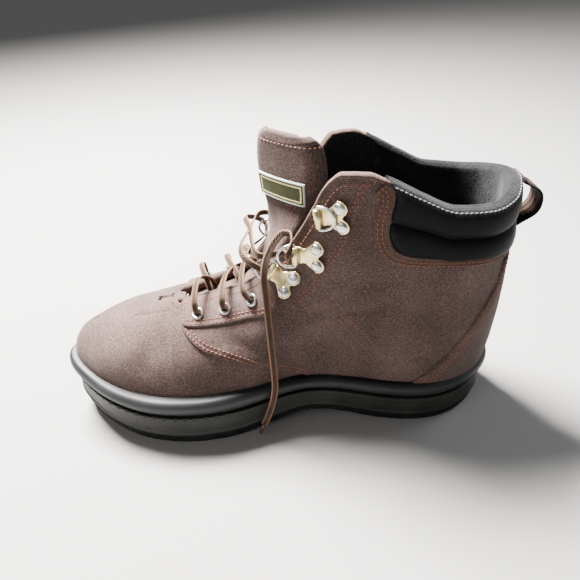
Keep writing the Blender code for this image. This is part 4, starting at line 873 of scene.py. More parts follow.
def edge_distance(grid, sides="udlr"):
    """Distance of each grid point from the chosen borders: first and last row, first and last column."""
    across = np.linalg.norm(np.diff(grid, axis=1), axis=2)
    left = np.concatenate([np.zeros((len(grid), 1)), np.cumsum(across, axis=1)], axis=1)
    down = np.linalg.norm(np.diff(grid, axis=0), axis=2)
    top = np.concatenate([np.zeros((1, grid.shape[1])), np.cumsum(down, axis=0)], axis=0)
    options = {"l": left, "r": left[:, -1:] - left, "u": top, "d": top[-1:] - top}
    return np.min([options[key] for key in sides], axis=0)


def crowded(count, power=0.6):
    """Shares 0 to 1 that lie closer together at both ends: a blend of a line and a half cosine."""
    t = np.linspace(0, 1, count)
    return (1 - power) * t + power * (0.5 - 0.5 * np.cos(math.pi * t))


EDGE_ROUND = 0.0012
SEAM_SINK = 0.00022
SEAM_WIDTH = 0.0007
SWELL_AT = 0.0011
SWELL_WIDTH = 0.0008
SWELL_RISE = 0.00018


def sewn_panel(name, q, v, low, high, finishes, sides, seams, node_name):
    """A cloth panel over (q, v): its edges round down to the layer below, and it dips along seams.

    Height = low + (high - low) * sqrt(1 - (1 - d / r)^2) within r of an edge, minus a small bell at
    each seam's distance d from the edge, plus a faint swell between seam and edge.
    """
    flat = skin(q, v)
    normal = skin_normal(q, v)
    d = edge_distance(flat, sides)
    near_edge = round_over(d, EDGE_ROUND)
    height = low + (high - low) * near_edge
    for seam in seams:
        height = height - SEAM_SINK * bell(d - seam, SEAM_WIDTH) * near_edge
    height = height + SWELL_RISE * bell(d - SWELL_AT, SWELL_WIDTH) * near_edge
    base = flat + normal * relief(flat)[..., None]
    piece = closed_shell(name, base + normal * height[..., None], base + normal * (low - 0.0001), finishes)
    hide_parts(node_name)


# %% [markdown]
# The shell is canvas outside and black mesh inside. It is one thick sheet over the whole last: both
# sides from the heel to the throat, and the toe in front of the throat, where the two sides meet
# along the ridge. Its points come from one grid for each part, merged where they meet.

# %% Upper shell


def shell_sheet():
    """Grids of the sheet: its rear part, from one side's throat to the other's, and its toe part."""
    rear_q = np.concatenate([-np.linspace(THROAT_RIB, 0, 120)[:-1], np.linspace(0, THROAT_RIB, 120)])
    rear_q = np.where(np.abs(rear_q) < 1e-9, JUST_OFF, rear_q)
    rows = np.linspace(0, 1, 56)
    rear = cloth(rear_q[:, None], rows[None, :], 0.0)
    toe_k = np.linspace(THROAT_RIB, TOE_RIB, 60)
    near = cloth(toe_k[:, None], rows[None, :], 0.0)
    far = cloth(-toe_k[:, None], rows[None, ::-1], 0.0)
    toe = np.concatenate([near, far[:, 1:]], axis=1)
    middle = len(rows) - 1
    toe[:, middle] = 0.5 * (near[:, -1] + far[:, 0])
    near_ridge = bell(np.arange(toe.shape[1]) - middle, 7.0)[:, None]
    for _ in range(14):
        around = toe.copy()
        around[:, 1:-1] = 0.5 * toe[:, 1:-1] + 0.25 * (toe[:, :-2] + toe[:, 2:])
        toe = toe * (1 - near_ridge) + around * near_ridge
    return rear, toe


def upper_shell():
    """Both parts as one mesh, then Solidify gives the wall, with the lining's material inside."""
    rear, toe = shell_sheet()
    quads = [grid_quads(*rear.shape[:2]), grid_quads(*toe.shape[:2]) + rear.shape[0] * rear.shape[1]]
    points = np.concatenate([rear.reshape(-1, 3), toe.reshape(-1, 3)])
    uv = np.concatenate([grid_uv(rear).reshape(-1, 2), grid_uv(toe).reshape(-1, 2)])
    quads = np.concatenate(quads)
    piece = add_mesh("shell_cloth", points, quads, uv, [CANVAS, LINING], merge=6e-5, outward=False)
    wall = piece.modifiers.new("wall", "SOLIDIFY")
    wall.thickness = WALL
    wall.offset = -1
    wall.material_offset = 1
    wall.material_offset_rim = 1
    wall.use_quality_normals = True
    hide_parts("upper")
    return piece


shell = upper_shell()
print("shell:", len(shell.data.vertices), "points")

# %% [markdown]
# Quarters, facings, heel counter and collar band are cut panels laid over the shell. A panel is
# made on a grid between two border lines on the last. Its rim rounds down to the cloth below, and
# it sinks a little along each stitch line, because a sewn seam is what makes cloth look like cloth.

# %% Quarters
QUARTER_EDGE = (
    (0.716, 1.060), (0.719, 1.000), (0.720, 0.955), (0.714, 0.926), (0.697, 0.872),
    (0.669, 0.807), (0.628, 0.754), (0.587, 0.693), (0.524, 0.585), (0.445, 0.462),
)
FEATHER_TUCK = 0.0006
UNDER_CLOTH = GAP * 0.3


def quarter_edge(side):
    """(q, v) line of the quarter's front edge, from the feather line up to the top line."""
    line = find(side, smooth_line(QUARTER_EDGE, 60)[::-1], INSTEP_HEIGHT)
    ridge = line[:, 1].argmax()
    return np.concatenate([line[: ridge + 1], [(line[ridge, 0], 1.0)]])


def feather_row(q):
    """The v just under the rubber band's top, where cloth disappears."""
    x = skin(q, np.full(len(q), 0.1))[:, 0]
    return row_at(q, layer_height(x, FEATHER) - FEATHER_TUCK)


quarter_lines = {}
for name, side in SIDES.items():
    edge = quarter_edge(side)
    quarter_lines[name] = edge
    rows = crowded(72, 0.35)
    low_v = feather_row(edge[:, 0])
    share = np.maximum.accumulate(np.clip((edge[:, 1] - low_v) / (1 - low_v), 0, 1))
    share = share + np.arange(len(share)) * 1e-7
    front = np.interp(rows, share, np.abs(edge[:, 0]))
    back_to_front = 1 - (1 - np.linspace(0, 1, 150)) ** 1.25
    k = np.maximum(back_to_front[None, :] * front[:, None], 0.002)
    low = np.array([feather_row(side * column) for column in k])
    v = low + (1 - low) * rows[:, None]
    sewn_panel(
        f"quarter_cloth_{name}", side * k, v, UNDER_CLOTH, QUARTER_LAYER, [CANVAS], "r", (0.0020, 0.0050),
        f"quarter_{name}",
    )
print("quarter edge of the medial side, from", np.round(quarter_lines["medial"][0], 2), "to the throat")

# %% Facings
EYESTAY_EDGE = (
    (0.710, 1.060), (0.713, 1.000), (0.713, 0.955), (0.703, 0.922), (0.668, 0.925),
    (0.625, 0.944), (0.582, 0.970), (0.532, 1.024), (0.511, 1.071), (0.498, 1.139),
    (0.499, 1.208), (0.512, 1.262), (0.530, 1.330),
)
AT_TOP_LINE = 0.995
facing_lines = {}
for name, side in SIDES.items():
    line = find(side, smooth_line(EYESTAY_EDGE, 80), INSTEP_HEIGHT)
    below = np.flatnonzero(line[:, 1] < AT_TOP_LINE)
    line = line[max(below[0] - 1, 0) : below[-1] + 2]
    line[0, 1] = line[-1, 1] = 1.0
    facing_lines[name] = line
    outer = smooth_line(line, 110)
    top_k = np.linspace(abs(line[0, 0]), abs(line[-1, 0]), 400)
    top = evenly(np.stack([side * top_k, np.ones(400)], axis=1), 110)
    t = crowded(26)[:, None, None]
    q, v = np.moveaxis(outer * (1 - t) + top * t, -1, 0)
    sewn_panel(
        f"facing_cloth_{name}", q, v, QUARTER_LAYER + UNDER_CLOTH, OVERLAY_LAYER, [CANVAS], "ulr",
        (0.0022, 0.0048), f"eyestay_{name}",
    )
print("facing edge:", len(facing_lines["medial"]), "points a side")

# %% Collar edge, in (q, v)
CUFF_LOW = (
    # way, high
    (0.00, 0.810), (0.30, 0.811), (0.65, 0.816), (0.86, 0.822), (1.00, 0.829),
)
CUFF_FRONT = (
    # up, along
    (0.00, 0.232), (0.03, 0.252), (0.07, 0.266), (0.19, 0.281), (0.38, 0.290),
    (0.60, 0.288), (0.80, 0.283), (0.93, 0.290), (1.00, 0.303),
)
BAND_WIDTH = 0.0078
BACK_BAND_SHARE = 0.72


def cuff_front(up):
    """Side view (x, z) of the cuff's front edge; up is the share of its height."""
    share, along = zip(*CUFF_FRONT)
    up = np.clip(up, 0, 1)
    low = COLLAR_HEIGHT * CUFF_LOW[-1][1]
    top = GRIDS[NEAR][:160, -1]
    high = np.interp(place_along(along[-1]), top[:, 0], top[:, 2])
    return place_along(monotone(share, along, up)), low + up * (high - low)


def cuff_places(side, up):
    """(q, v) of points on the cuff's front edge."""
    x, z = cuff_front(up)
    return find(side, np.stack([share_along(x), z], axis=1), 1.0)


def low_row(side, k, corner_k):
    """The v of the cuff's lower edge at each rib behind its front corner."""
    way, high = zip(*CUFF_LOW)
    return row_at(side * np.maximum(k, JUST_OFF), COLLAR_HEIGHT * monotone(way, high, k / corner_k))


def cuff_edge(side):
    """(q, v) line from the top of the cuff's front edge down, round its corner and to the back."""
    front = cuff_places(side, np.linspace(1.0, 0.0, 50))
    corner_k = abs(front[-1, 0])
    k = np.linspace(corner_k, 0.0, 70)[1:]
    low = np.stack([side * np.maximum(k, JUST_OFF), low_row(side, k, corner_k)], axis=1)
    return smooth_line(np.concatenate([front, low])[::3], 130)


cuff_lines = {name: cuff_edge(side) for name, side in SIDES.items()}

# %% Collar band and heel counter


def band_half(name, side):
    """Grid of (q, v) between the cuff's edge and the line one band width outside it."""
    line = cuff_lines[name]
    at = lengths(skin(line[:, 0], line[:, 1]))
    turn = np.clip((at / at[-1] - 0.30) / 0.12, 0, 1)
    width = BAND_WIDTH * (1 - (1 - BACK_BAND_SHARE) * turn)
    outer = beside(line, -side * width)
    inner = beside(line, side * 0.0012)
    t = crowded(14)[:, None, None]
    return (inner[None] * (1 - t) + outer[None] * t), outer


halves = []
band_outer = {}
for name, side in SIDES.items():
    grid, outer = band_half(name, side)
    band_outer[name] = outer
    halves.append(grid if side == NEAR else grid[:, ::-1])
band_q = np.concatenate([halves[0], halves[1][:, 1:]], axis=1)
sewn_panel(
    "collar_binding", band_q[..., 0], band_q[..., 1], QUARTER_LAYER + UNDER_CLOTH, OVERLAY_LAYER + 0.0001,
    [CANVAS_EDGE], "ud", (0.0018, 0.0052), "collar_band",
)

COUNTER_EDGE = (
    (0.036, 1.450), (0.041, 1.384), (0.048, 1.210), (0.061, 1.109),
    (0.094, 0.883), (0.129, 0.686), (0.176, 0.498), (0.200, 0.425),
)
counter_rows = smooth_line(COUNTER_EDGE, 50)[::-1]
counter_lines = {name: find(side, counter_rows, INSTEP_HEIGHT) for name, side in SIDES.items()}
COUNTER_TOP = 0.800
rows = crowded(60, 0.3)
counter_k = {}
for name, side in SIDES.items():
    line = counter_lines[name]
    height = skin(line[:, 0], line[:, 1])[:, 2]
    low_z = float(layer_height(float(place_along(0.15)), FEATHER)) - FEATHER_TUCK
    wanted = low_z + rows * (COLLAR_HEIGHT * COUNTER_TOP - low_z)
    counter_k[name] = np.interp(wanted, np.maximum.accumulate(height), np.abs(line[:, 0]))
across = side_to_side(121)
k = np.where(across >= 0, counter_k["medial"][:, None], counter_k["lateral"][:, None])
q = k * across
q = np.where(np.abs(q) < JUST_OFF, JUST_OFF, q)
v = np.array([row_at(line, height) for line, height in zip(q, wanted)])
v[0] = feather_row(q[0])
sewn_panel(
    "counter_cloth", q, v, QUARTER_LAYER + UNDER_CLOTH, OVERLAY_LAYER + 0.0002, [CANVAS], "lr",
    (0.0040, 0.0066), "heel_counter",
)
print("collar band and counter made")

# %% [markdown]
# The collar cuff is two rolls of foam in a knit cover, with a sewn valley between them and a third,
# napped roll over the rim. It could be inflated by a cloth simulation, but foam this firm keeps the
# section it was sewn to, so its section is carried round the collar, with puckers along the seams.

# %% Collar cuff
CUFF_OUTWARD = 0.0050
CUFF_INWARD = 0.0068
CUFF_SECTION = (
    # up, out
    (0.00, 0.30), (0.03, 0.68), (0.10, 0.93), (0.24, 1.03), (0.38, 0.92), (0.47, 0.62),
    (0.50, 0.42), (0.53, 0.62), (0.60, 0.95), (0.72, 1.08), (0.84, 1.04), (0.93, 0.86),
    (1.01, 0.50), (1.045, 0.10), (1.055, -0.12), (1.07, -0.40), (1.02, -0.78), (0.92, -0.97),
    (0.78, -1.00), (0.57, -1.00), (0.42, -0.97), (0.26, -0.90), (0.12, -0.75), (0.03, -0.55),
    (0.00, -0.30),
)
CUFF_STEPS = 110
SECTION_POINTS = 112
VALLEY_UP = 0.50
PUCKER_PITCH = 0.0052
FOLD_PITCH = 0.031
HALF_ROUND = 0.16


def cuff_grid():
    """Rows of closed sections from the medial front edge round the back to the lateral front edge."""
    loop = smooth_line(CUFF_SECTION + CUFF_SECTION[:1], SECTION_POINTS + 1)[:-1]
    up, out = loop.T
    steps = np.linspace(0, 1, CUFF_STEPS)
    steps = 0.25 * steps**2 + 0.75 * steps
    taper = np.sqrt(np.clip(1 - (1 - np.minimum(steps / 0.07, 1)) ** 2, 0.10, 1))
    halves = []
    for side in (NEAR, FAR):
        front = cuff_places(side, np.clip(up, 0, 1))
        corner = cuff_places(side, np.zeros(1))[0]
        rise = np.where(up > 1, up, (front[:, 1] - corner[1]) / (1 - corner[1]))
        k = np.maximum(np.abs(front[:, 0])[None, :] * (1 - steps[:, None]), 1e-5)
        low_v = low_row(side, abs(corner[0]) * (1 - steps), abs(corner[0]))
        v = low_v[:, None] + rise[None, :] * (1 - low_v[:, None])
        travel = steps[:, None] * HALF_ROUND
        pucker = bell(up - VALLEY_UP, 0.035) + 0.6 * bell(up - 0.02, 0.04)
        pucker = pucker[None, :] * (0.5 + 0.5 * np.sin(travel / PUCKER_PITCH * 2 * math.pi))
        soft = 0.35 * np.sin(travel / FOLD_PITCH * 2 * math.pi + 5 * up) * np.sin(7 * up + side)
        swell = np.where(out > 0, out * CUFF_OUTWARD, out * CUFF_INWARD)[None, :] * taper[:, None]
        swell = swell - np.sign(out) * (0.35 * pucker + 0.25 * soft) * MM * taper[:, None]
        point = skin(side * k, v) + skin_normal(side * k, v) * swell[..., None]
        point[..., 2] += 2 * GAP * np.clip(1 - up / 0.2, 0, 1)
        point[..., 0] -= 2 * GAP * ((1 - steps) ** 8)[:, None]
        halves.append(point)
    near, far = halves
    near[-1, :, 1] = 0.0
    return np.concatenate([near, far[-2::-1]]), up, out


cuff, cuff_up, cuff_out = cuff_grid()
cuff_back = cuff[CUFF_STEPS - 1]
quads = grid_quads(*cuff.shape[:2], around=True)
fleece_column = (cuff_up > 0.86) | (cuff_out < 0)
pick = np.tile(fleece_column.astype(int), len(cuff) - 1)
half = SECTION_POINTS // 2
ends = []
for row in (0, len(cuff) - 1):
    ring = row * SECTION_POINTS + np.arange(SECTION_POINTS)
    turned_ring = ring[::-1]
    strip = (ring[: half - 1], ring[1:half], turned_ring[1:half], turned_ring[: half - 1])
    ends.append(np.stack(strip, axis=1))
quads = np.concatenate([quads, *ends])
pick = np.concatenate([pick, np.zeros(sum(len(e) for e in ends), int)])
cuff_piece = add_mesh("collar_padding", cuff, quads, grid_uv(cuff), [PUFF_KNIT, FLEECE], pick=pick)
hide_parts("collar_cuff")
print("cuff:", len(cuff_piece.data.polygons), "faces")

# %% Pull loop
LOOP_WIDTH = 0.020
LOOP_THICKNESS = 0.0018
LOOP_STAND = 0.011
LOOP_ROUTE = (
    # up, stand
    (0.06, 0.00), (0.13, 0.00), (0.22, 0.30), (0.36, 0.86), (0.52, 1.00), (0.68, 0.86),
    (0.79, 0.32), (0.85, 0.00), (0.92, 0.00),
)


def strap(name, path, width, thickness, outward, finish, count=22):
    """A flat strap: the path spread sideways along Y, with a rounded edge; UV across and along, in mm."""
    across = side_to_side(count)
    normal = unit(np.cross(np.gradient(path, axis=0), (0.0, 1.0, 0.0)))
    normal = normal * np.sign(normal @ outward).mean()
    lift = normal[:, None] * thickness / 2
    round_off = np.sqrt(np.clip(1 - np.abs(across) ** 8, 0, 1))[None, :, None]
    middle = path[:, None, :] + np.array([0.0, 1.0, 0.0]) * (across * width / 2)[None, :, None] + lift
    top = middle + lift * round_off
    low = middle - lift * round_off
    u = (across + 1) / 2 * width / MM
    v = lengths(path) / MM
    uv = np.stack(np.broadcast_arrays(u[None, :], v[:, None]), axis=-1)
    return closed_shell(name, top, low, [finish], uv=uv)


outer_back = cuff_back[cuff_out > 0]
low_z, deep = outer_back[:, 2].min(), np.ptp(outer_back[:, 2])
out_x = outer_back[:, 0].min() - LOOP_STAND
loop_route = []
for share, stand in LOOP_ROUTE:
    z = low_z + share * deep
    sewn = np.interp(z, outer_back[:, 2], outer_back[:, 0]) - 2.2 * GAP
    loop_route.append((sewn * (1 - stand) + out_x * stand, 0.0, z))
loop_path = smooth_line(loop_route, 90)
loop_piece = strap("pull_strap", loop_path, LOOP_WIDTH, LOOP_THICKNESS, np.array([-1.0, 0.0, 0.0]), WEBBING)
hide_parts("pull_loop")

# %% [markdown]
# The tongue is a padded flap: under the throat it follows the last a little way in, then it stands
# free and turns its face outward. Its rows are listed and joined by smooth curves. A folded
# hem crosses its top, it bulges where the foam is and dips towards its stitched sides.

# %% Tongue
TONGUE_THICKNESS = 0.0055
TONGUE_TOP = 0.2085
TONGUE = (
    # rib, reach, bulge
    (18.0, 0.24, 0.000), (17.0, 0.22, 0.000), (15.6, 0.20, 0.000),
    (14.5, 0.17, 0.010), (13.5, 0.08, 0.020), (12.7, 0.02, 0.045),
)
TONGUE_FREE = (
    # high, along, half, turn
    (0.600, 0.529, 0.205, 6.0), (0.657, 0.508, 0.222, 18.0), (0.710, 0.493, 0.268, 33.0),
    (0.782, 0.486, 0.317, 45.0), (0.863, 0.487, 0.360, 48.0), (0.940, 0.487, 0.340, 50.0),
    (0.977, 0.487, 0.295, 50.0), (0.998, 0.487, 0.225, 50.0),
)
LABEL_ROWS = (len(TONGUE) + 3.04, len(TONGUE) + 3.95)
TONGUE_SECTION = (
    # across, ahead
    (-1.00, -0.42), (-0.88, -0.20), (-0.70, -0.05), (-0.45, 0.00), (-0.20, 0.02), (0.00, 0.025),
    (0.20, 0.02), (0.45, 0.00), (0.70, -0.05), (0.88, -0.20), (1.00, -0.42),
)


def tongue_rows():
    """Rows of 11 points: offset under the last's surface first, then sections turned about Z."""
    clear = WALL + 5 * GAP
    steps = np.array((1.0, 0.65, 0.3, 0.0))
    rows = []
    for rib, reach, bulge in TONGUE:
        row = {}
        for side in (NEAR, FAR):
            q, v = np.full(4, side * rib), 1 - 0.012 - reach * steps
            row[side] = skin(q, v) - skin_normal(q, v) * clear
        middle = 0.5 * (row[NEAR][-1] + row[FAR][-1])
        ahead = skin(min(rib + 0.5, 18.4), 1.0) - skin(rib - 0.5, 1.0)
        front = np.array([-ahead[2], 0.0, ahead[0]]) / math.hypot(ahead[0], ahead[2]) * bulge * ANKLE_WIDTH
        shoulders = [0.5 * (row[side][-1] + middle) + front * 0.75 for side in (NEAR, FAR)]
        rows.append(np.concatenate([row[FAR], [shoulders[1], middle + front, shoulders[0]], row[NEAR][::-1]]))
    across, forward = (np.array(column)[:, None] for column in zip(*TONGUE_SECTION))
    for high, along, half, turn in TONGUE_FREE:
        turn = math.radians(turn)
        sideways = np.array([-math.sin(turn), math.cos(turn), 0.0]) * half * ANKLE_WIDTH
        facing = np.array([math.cos(turn), math.sin(turn), 0.0]) * half * ANKLE_WIDTH
        centre = np.array([float(place_along(along)), 0.0, TONGUE_TOP * high])
        rows.append(centre + across * sideways + forward * facing)
    return np.array(rows)


def between(grid, at):
    """Catmull-Rom interpolation of a grid's rows at fractional row numbers."""
    extended = np.concatenate([2 * grid[:1] - grid[1:2], grid, 2 * grid[-1:] - grid[-2:-1]])
    i = np.clip(np.floor(at).astype(int), 0, len(grid) - 2)
    t = (at - i)[:, None, None]
    return catmull(*(extended[i + n] for n in range(4)), t)


def grid_normals(grid):
    """Unit normals from the cross product of the grid's two directions."""
    return unit(np.cross(np.gradient(grid, axis=1), np.gradient(grid, axis=0)))


tongue_grid = tongue_rows()


def tongue_surface(row_numbers, column_numbers):
    """The tongue's front at fractional rows and columns of the listed grid."""
    rows = between(tongue_grid, row_numbers)
    return between(rows.transpose(1, 0, 2), column_numbers).transpose(1, 0, 2)


HEM = 0.0085
HEM_SEAM = HEM - 0.0012
TONGUE_ROUND = 0.0026
PAD_RISE = 0.0010
PAD_REACH = 0.012
FOLD_ROW = 7.6
row_numbers = np.linspace(0, len(tongue_grid) - 1, 170)
column_numbers = 5 + 5 * side_to_side(90)
front = tongue_surface(row_numbers, column_numbers)
tongue_out = grid_normals(front)
if (tongue_out[100, 45] @ np.array([1.0, 1.0, 0.3])) < 0:
    tongue_out = -tongue_out
edge = edge_distance(front)
from_top = edge_distance(front, "d")
hem = 0.0004 * soft_step((HEM - from_top) / 0.0002) - 0.0003 * bell(from_top - HEM_SEAM, SEAM_WIDTH)
pad = PAD_RISE * np.sin(np.clip(edge / PAD_REACH, 0, 1) * math.pi / 2) ** 2
folds = 0.0009 * bell(row_numbers - FOLD_ROW, 0.9)[:, None]
folds = folds * np.sin(3.1 * row_numbers[:, None] + 1.3 * column_numbers[None, :])
middle = front - tongue_out * TONGUE_THICKNESS / 2
edge_round = round_over(edge, TONGUE_ROUND)
front_height = (TONGUE_THICKNESS / 2 + hem + pad + folds - PAD_RISE) * edge_round
tongue_front = middle + tongue_out * front_height[..., None]
tongue_back = middle - tongue_out * (TONGUE_THICKNESS / 2 * edge_round)[..., None]
tongue_piece = closed_shell("tongue_cloth", tongue_front, tongue_back, [CANVAS])
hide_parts("tongue")

# %% Tongue label, bare
LABEL_WIDTH = 0.040
LABEL_THICKNESS = 0.0012
LABEL_RIM_WIDTH = 0.0013
LABEL_LINE_AT = (0.0024, 0.0033)
label_rows = np.linspace(*LABEL_ROWS, 60)
label_columns = np.linspace(0.3, 9.7, 500)
label_grid = []
for line in tongue_surface(label_rows, label_columns):
    at = lengths(line)
    centre = np.interp(5.0, label_columns, at)
    label_grid.append(resample(line, at, centre + np.linspace(-0.5, 0.5, 130) * LABEL_WIDTH))
label_grid = np.array(label_grid)
label_out = grid_normals(label_grid)
label_out = label_out * np.sign(label_out[30, 65] @ np.array([1.0, 1.0, 0.0]))
d = edge_distance(label_grid)
on_rim = soft_step((LABEL_RIM_WIDTH - d) / 0.00012)
on_line = bell(d - sum(LABEL_LINE_AT) / 2, 0.0004)
height = LABEL_THICKNESS * 0.8 + 0.0004 * on_rim + 0.00015 * on_line
height = 0.0003 + height * round_over(d, 0.0006)
face_d = 0.25 * (d[:-1, :-1] + d[1:, :-1] + d[:-1, 1:] + d[1:, 1:]).ravel()
pick = np.where(face_d < LABEL_RIM_WIDTH, 2, 0)
pick = np.where((face_d > LABEL_LINE_AT[0]) & (face_d < LABEL_LINE_AT[1]), 1, pick)
label_piece = closed_shell(
    "bare_label", label_grid + label_out * height[..., None], label_grid - label_out * 0.0004,
    [LABEL_FIELD, LABEL_LINE, LABEL_RIM], pick=pick,
)
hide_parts("tongue_label")
print("tongue and label made")

# %% [markdown]
# The sole's layers are slabs whose side is a profile carried round the tread's outline. Each
# cross-section is one closed loop: up the medial side, across the top, down the lateral side and
# back along the bottom. At the heel and the toe the loops close on themselves.

# %% Sole
STATIONS = 420


def stations(count=STATIONS):
    """Shares of the way from heel to toe, closer together at the round ends."""
    turn = np.linspace(0, math.pi, count)
    return 0.82 * (0.5 - 0.5 * np.cos(turn)) + 0.18 * np.linspace(0, 1, count)


def slab(name, profile, finish, node_name, across=10, shape=None):
    """A slab from (offset in mm, level, lift in mm) rows; shape(level, share, side) adds to the offset."""
    share = stations()
    offset, level, lift = (column[None, :] for column in np.array(profile, float).T)
    sides = []
    for side in (NEAR, FAR):
        out = np.broadcast_to(offset, (len(share), offset.shape[1])) * MM
        if shape is not None:
            out = out + shape(level, share[:, None], side)
        flat, _ = outline_point(side, np.broadcast_to(share[:, None], out.shape), out)
        z = layer_height(flat[..., 0], level) + lift * MM
        sides.append(np.concatenate([flat, z[..., None]], axis=-1))
    near, far = sides
    t = np.linspace(0, 1, across + 2)[1:-1][None, :, None]
    top = near[:, -1:] * (1 - t) + far[:, -1:] * t
    bottom = far[:, :1] * (1 - t) + near[:, :1] * t
    top[..., 2] = layer_height(top[..., 0], level[0, -1]) + lift[0, -1] * MM
    bottom[..., 2] = layer_height(bottom[..., 0], level[0, 0]) + lift[0, 0] * MM
    grid = np.concatenate([near, top, far[:, ::-1], bottom], axis=1)
    piece = rings_mesh(name, [grid], finish)
    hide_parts(node_name)


FELT_RAG = 0.00022


def felt_shape(level, share, side):
    """Ragged cut edge: sums of sines of unlike pitch, least at the glued top."""
    rough = np.sin(share * 2270 + 95 * level) * np.sin(share * 517 + 60 * level)
    rough = np.sin(share * 1310 + 40 * level + side) + rough
    return FELT_RAG * rough * (1 - 0.5 * level / FELT_TOP)


felt_profile = [(-2.2, 0.0, 0.0), (-1.6, 0.012, 0.0), (-1.25, 0.03, 0.0)]
felt_profile += [(-1.2, level, 0.0) for level in np.linspace(0.045, FELT_TOP - 0.012, 16)]
felt_profile += [(-1.6, FELT_TOP, -0.15)]
slab("felt_tread", felt_profile, FELT, "felt_outsole", shape=felt_shape)

PIT_PITCH = 0.0074
PIT_HALF_WIDTH = 0.0008
PIT_DEPTH = 0.0013
PIT_LEVEL = MIDSOLE_TOP - 0.022
PITS_FROM = 0.60
HALF_WAY = {side: lengths(HALVES[side][1])[-1] for side in (NEAR, FAR)}


def midsole_shape(level, share, side):
    """A row of small pits under the top edge, from the ball round the toe."""
    travel = (1 - share) * HALF_WAY[side] + PIT_PITCH / 2
    phase = np.abs((travel / PIT_PITCH) % 1 - 0.5) * PIT_PITCH
    dot = np.clip(1 - (phase / PIT_HALF_WIDTH) ** 4, 0, 1)
    row = np.exp(-(((level - PIT_LEVEL) / 0.016) ** 4))
    return -PIT_DEPTH * dot * row * soft_step((share - PITS_FROM) / 0.01)


midsole_profile = [(-1.0, FELT_TOP, 0.15), (0.1, 0.200, 0.0), (0.45, 0.215, 0.0)]
midsole_profile += [(0.4, 0.245, 0.0), (-0.15, 0.262, 0.0)]
midsole_profile += [(-0.25 + 0.3 * t, 0.275 + 0.285 * t, 0.0) for t in np.linspace(0, 1, 12)]
midsole_profile += [(0.30, level, 0.0) for level in np.linspace(0.572, 0.606, 9)]
midsole_profile += [(0.0, 0.615, 0.0), (-0.7, MIDSOLE_TOP, 0.0)]
slab("midsole_rubber", midsole_profile, MIDSOLE_RUBBER, "midsole", shape=midsole_shape)

inset = -(UPPER_INSET + WALL) / MM - 1.0
insole_profile = [(inset, MIDSOLE_TOP, 0.35), (inset, MIDSOLE_TOP, 3.4)]
insole_profile += [(inset - 0.5, MIDSOLE_TOP, 4.1), (inset - 2.0, MIDSOLE_TOP, 4.5)]
slab("insole_cloth", insole_profile, SOCK_LINER, "insole", across=24)

BAND_SECTION = (
    # offset in mm, level: groove, thin lower ridge, dark line, broad lip, slope to the cloth, inside
    (-2.2, 0.620), (-2.2, 0.680), (-2.2, 0.722), (-1.7, 0.736), (0.5, 0.742), (1.2, 0.752),
    (1.25, 0.765), (0.9, 0.776), (-0.2, 0.781), (-0.3, 0.788), (0.6, 0.793), (2.2, 0.803),
    (2.85, 0.825), (3.0, 0.855), (2.8, 0.900), (2.1, 0.945), (1.1, 0.975), (0.0, 0.992),
    (-1.2, 1.000), (-3.4, 1.004), (-5.4, 1.000), (-5.6, 0.800), (-5.4, 0.625),
)
BAND_STATIONS = 400
BAND_POINTS = 100


def rubber_band():
    """The band's closed section carried round the whole outline, with faint mould waves on its lip."""
    section = smooth_line(BAND_SECTION + BAND_SECTION[:1], BAND_POINTS + 1)[:-1]
    offset, level = section.T[:, None]
    share = stations(BAND_STATIONS)
    loops = []
    for side, order in ((NEAR, share), (FAR, share[-2:0:-1])):
        wave = 0.00012 * np.sin(order[:, None] * 61) * (level > 0.8)
        where = np.broadcast_to(order[:, None], wave.shape)
        flat, _ = outline_point(side, where, offset * MM + wave)
        z = layer_height(flat[..., 0], level) + GAP * (level < 0.63)
        loops.append(np.concatenate([flat, z[..., None]], axis=-1))
    piece = rings_mesh("foxing_band", [np.concatenate(loops + [loops[0][:1]])], BAND_RUBBER)
    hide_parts("rubber_rand")


rubber_band()
print("sole made")

# %% [markdown]
# The metal fittings are read off the frame: a rivet pair's thinnest direction is its plate's
# normal, and the line between the two rivets is the plate's cross direction. So every plate, ring
# and eyelet sits exactly on its solid, and can be as round as the real one.

# %% Places of the fittings
PLATE_THICKNESS = 0.0009
PLATE_REACH = 0.0140
RIVET_PITCH = 0.0115
RIVET_RADIUS = 0.0037
RIVET_RISE = 0.0016
LOBE_RADIUS = 0.0048
BARREL_LENGTH = 0.0118
BARREL_WALL = 0.0008
WIRE_RADIUS = 0.0010
RING_REACH = 0.0110
EYELET_HOLE = 0.0023
EYELET_FLANGE = 0.0046
BARREL_INNER = WIRE_RADIUS + GAP * 1.3
BARREL_OUTER = BARREL_INNER + BARREL_WALL
AXIS_HEIGHT = max(PLATE_THICKNESS + WIRE_RADIUS + 2 * GAP, BARREL_OUTER)
RING_LIFT = {"low": 150, "mid": 150, "top": 0}
SIDE_NAME = {side: name for name, side in SIDES.items()}


def corners(node_name):
    """A CAD node's vertices."""
    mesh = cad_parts[node_name].data
    points = np.zeros(len(mesh.vertices) * 3)
    mesh.vertices.foreach_get("co", points)
    return np.unique(np.round(points.reshape(-1, 3), 7), axis=0)


def plate_frame(key, side):
    """Origin under the barrel, direction to the rivets, cross direction and outward normal."""
    first, second = (corners(f"ring_plate_{key}_rivet_{n}") for n in (1, 2))
    both = np.concatenate([first, second])
    centre = both.mean(axis=0)
    _, _, axes = np.linalg.svd(both - centre)
    normal = axes[2] * np.sign(axes[2][1] * side)
    across = second.mean(axis=0) - first.mean(axis=0)
    across = unit(across - normal * (across @ normal))
    along = np.cross(across, normal)
    base = centre + normal * ((both - centre) @ normal).min()
    origin = base - normal * (PLATE_THICKNESS + GAP) - along * PLATE_REACH
    return origin, along, across, normal


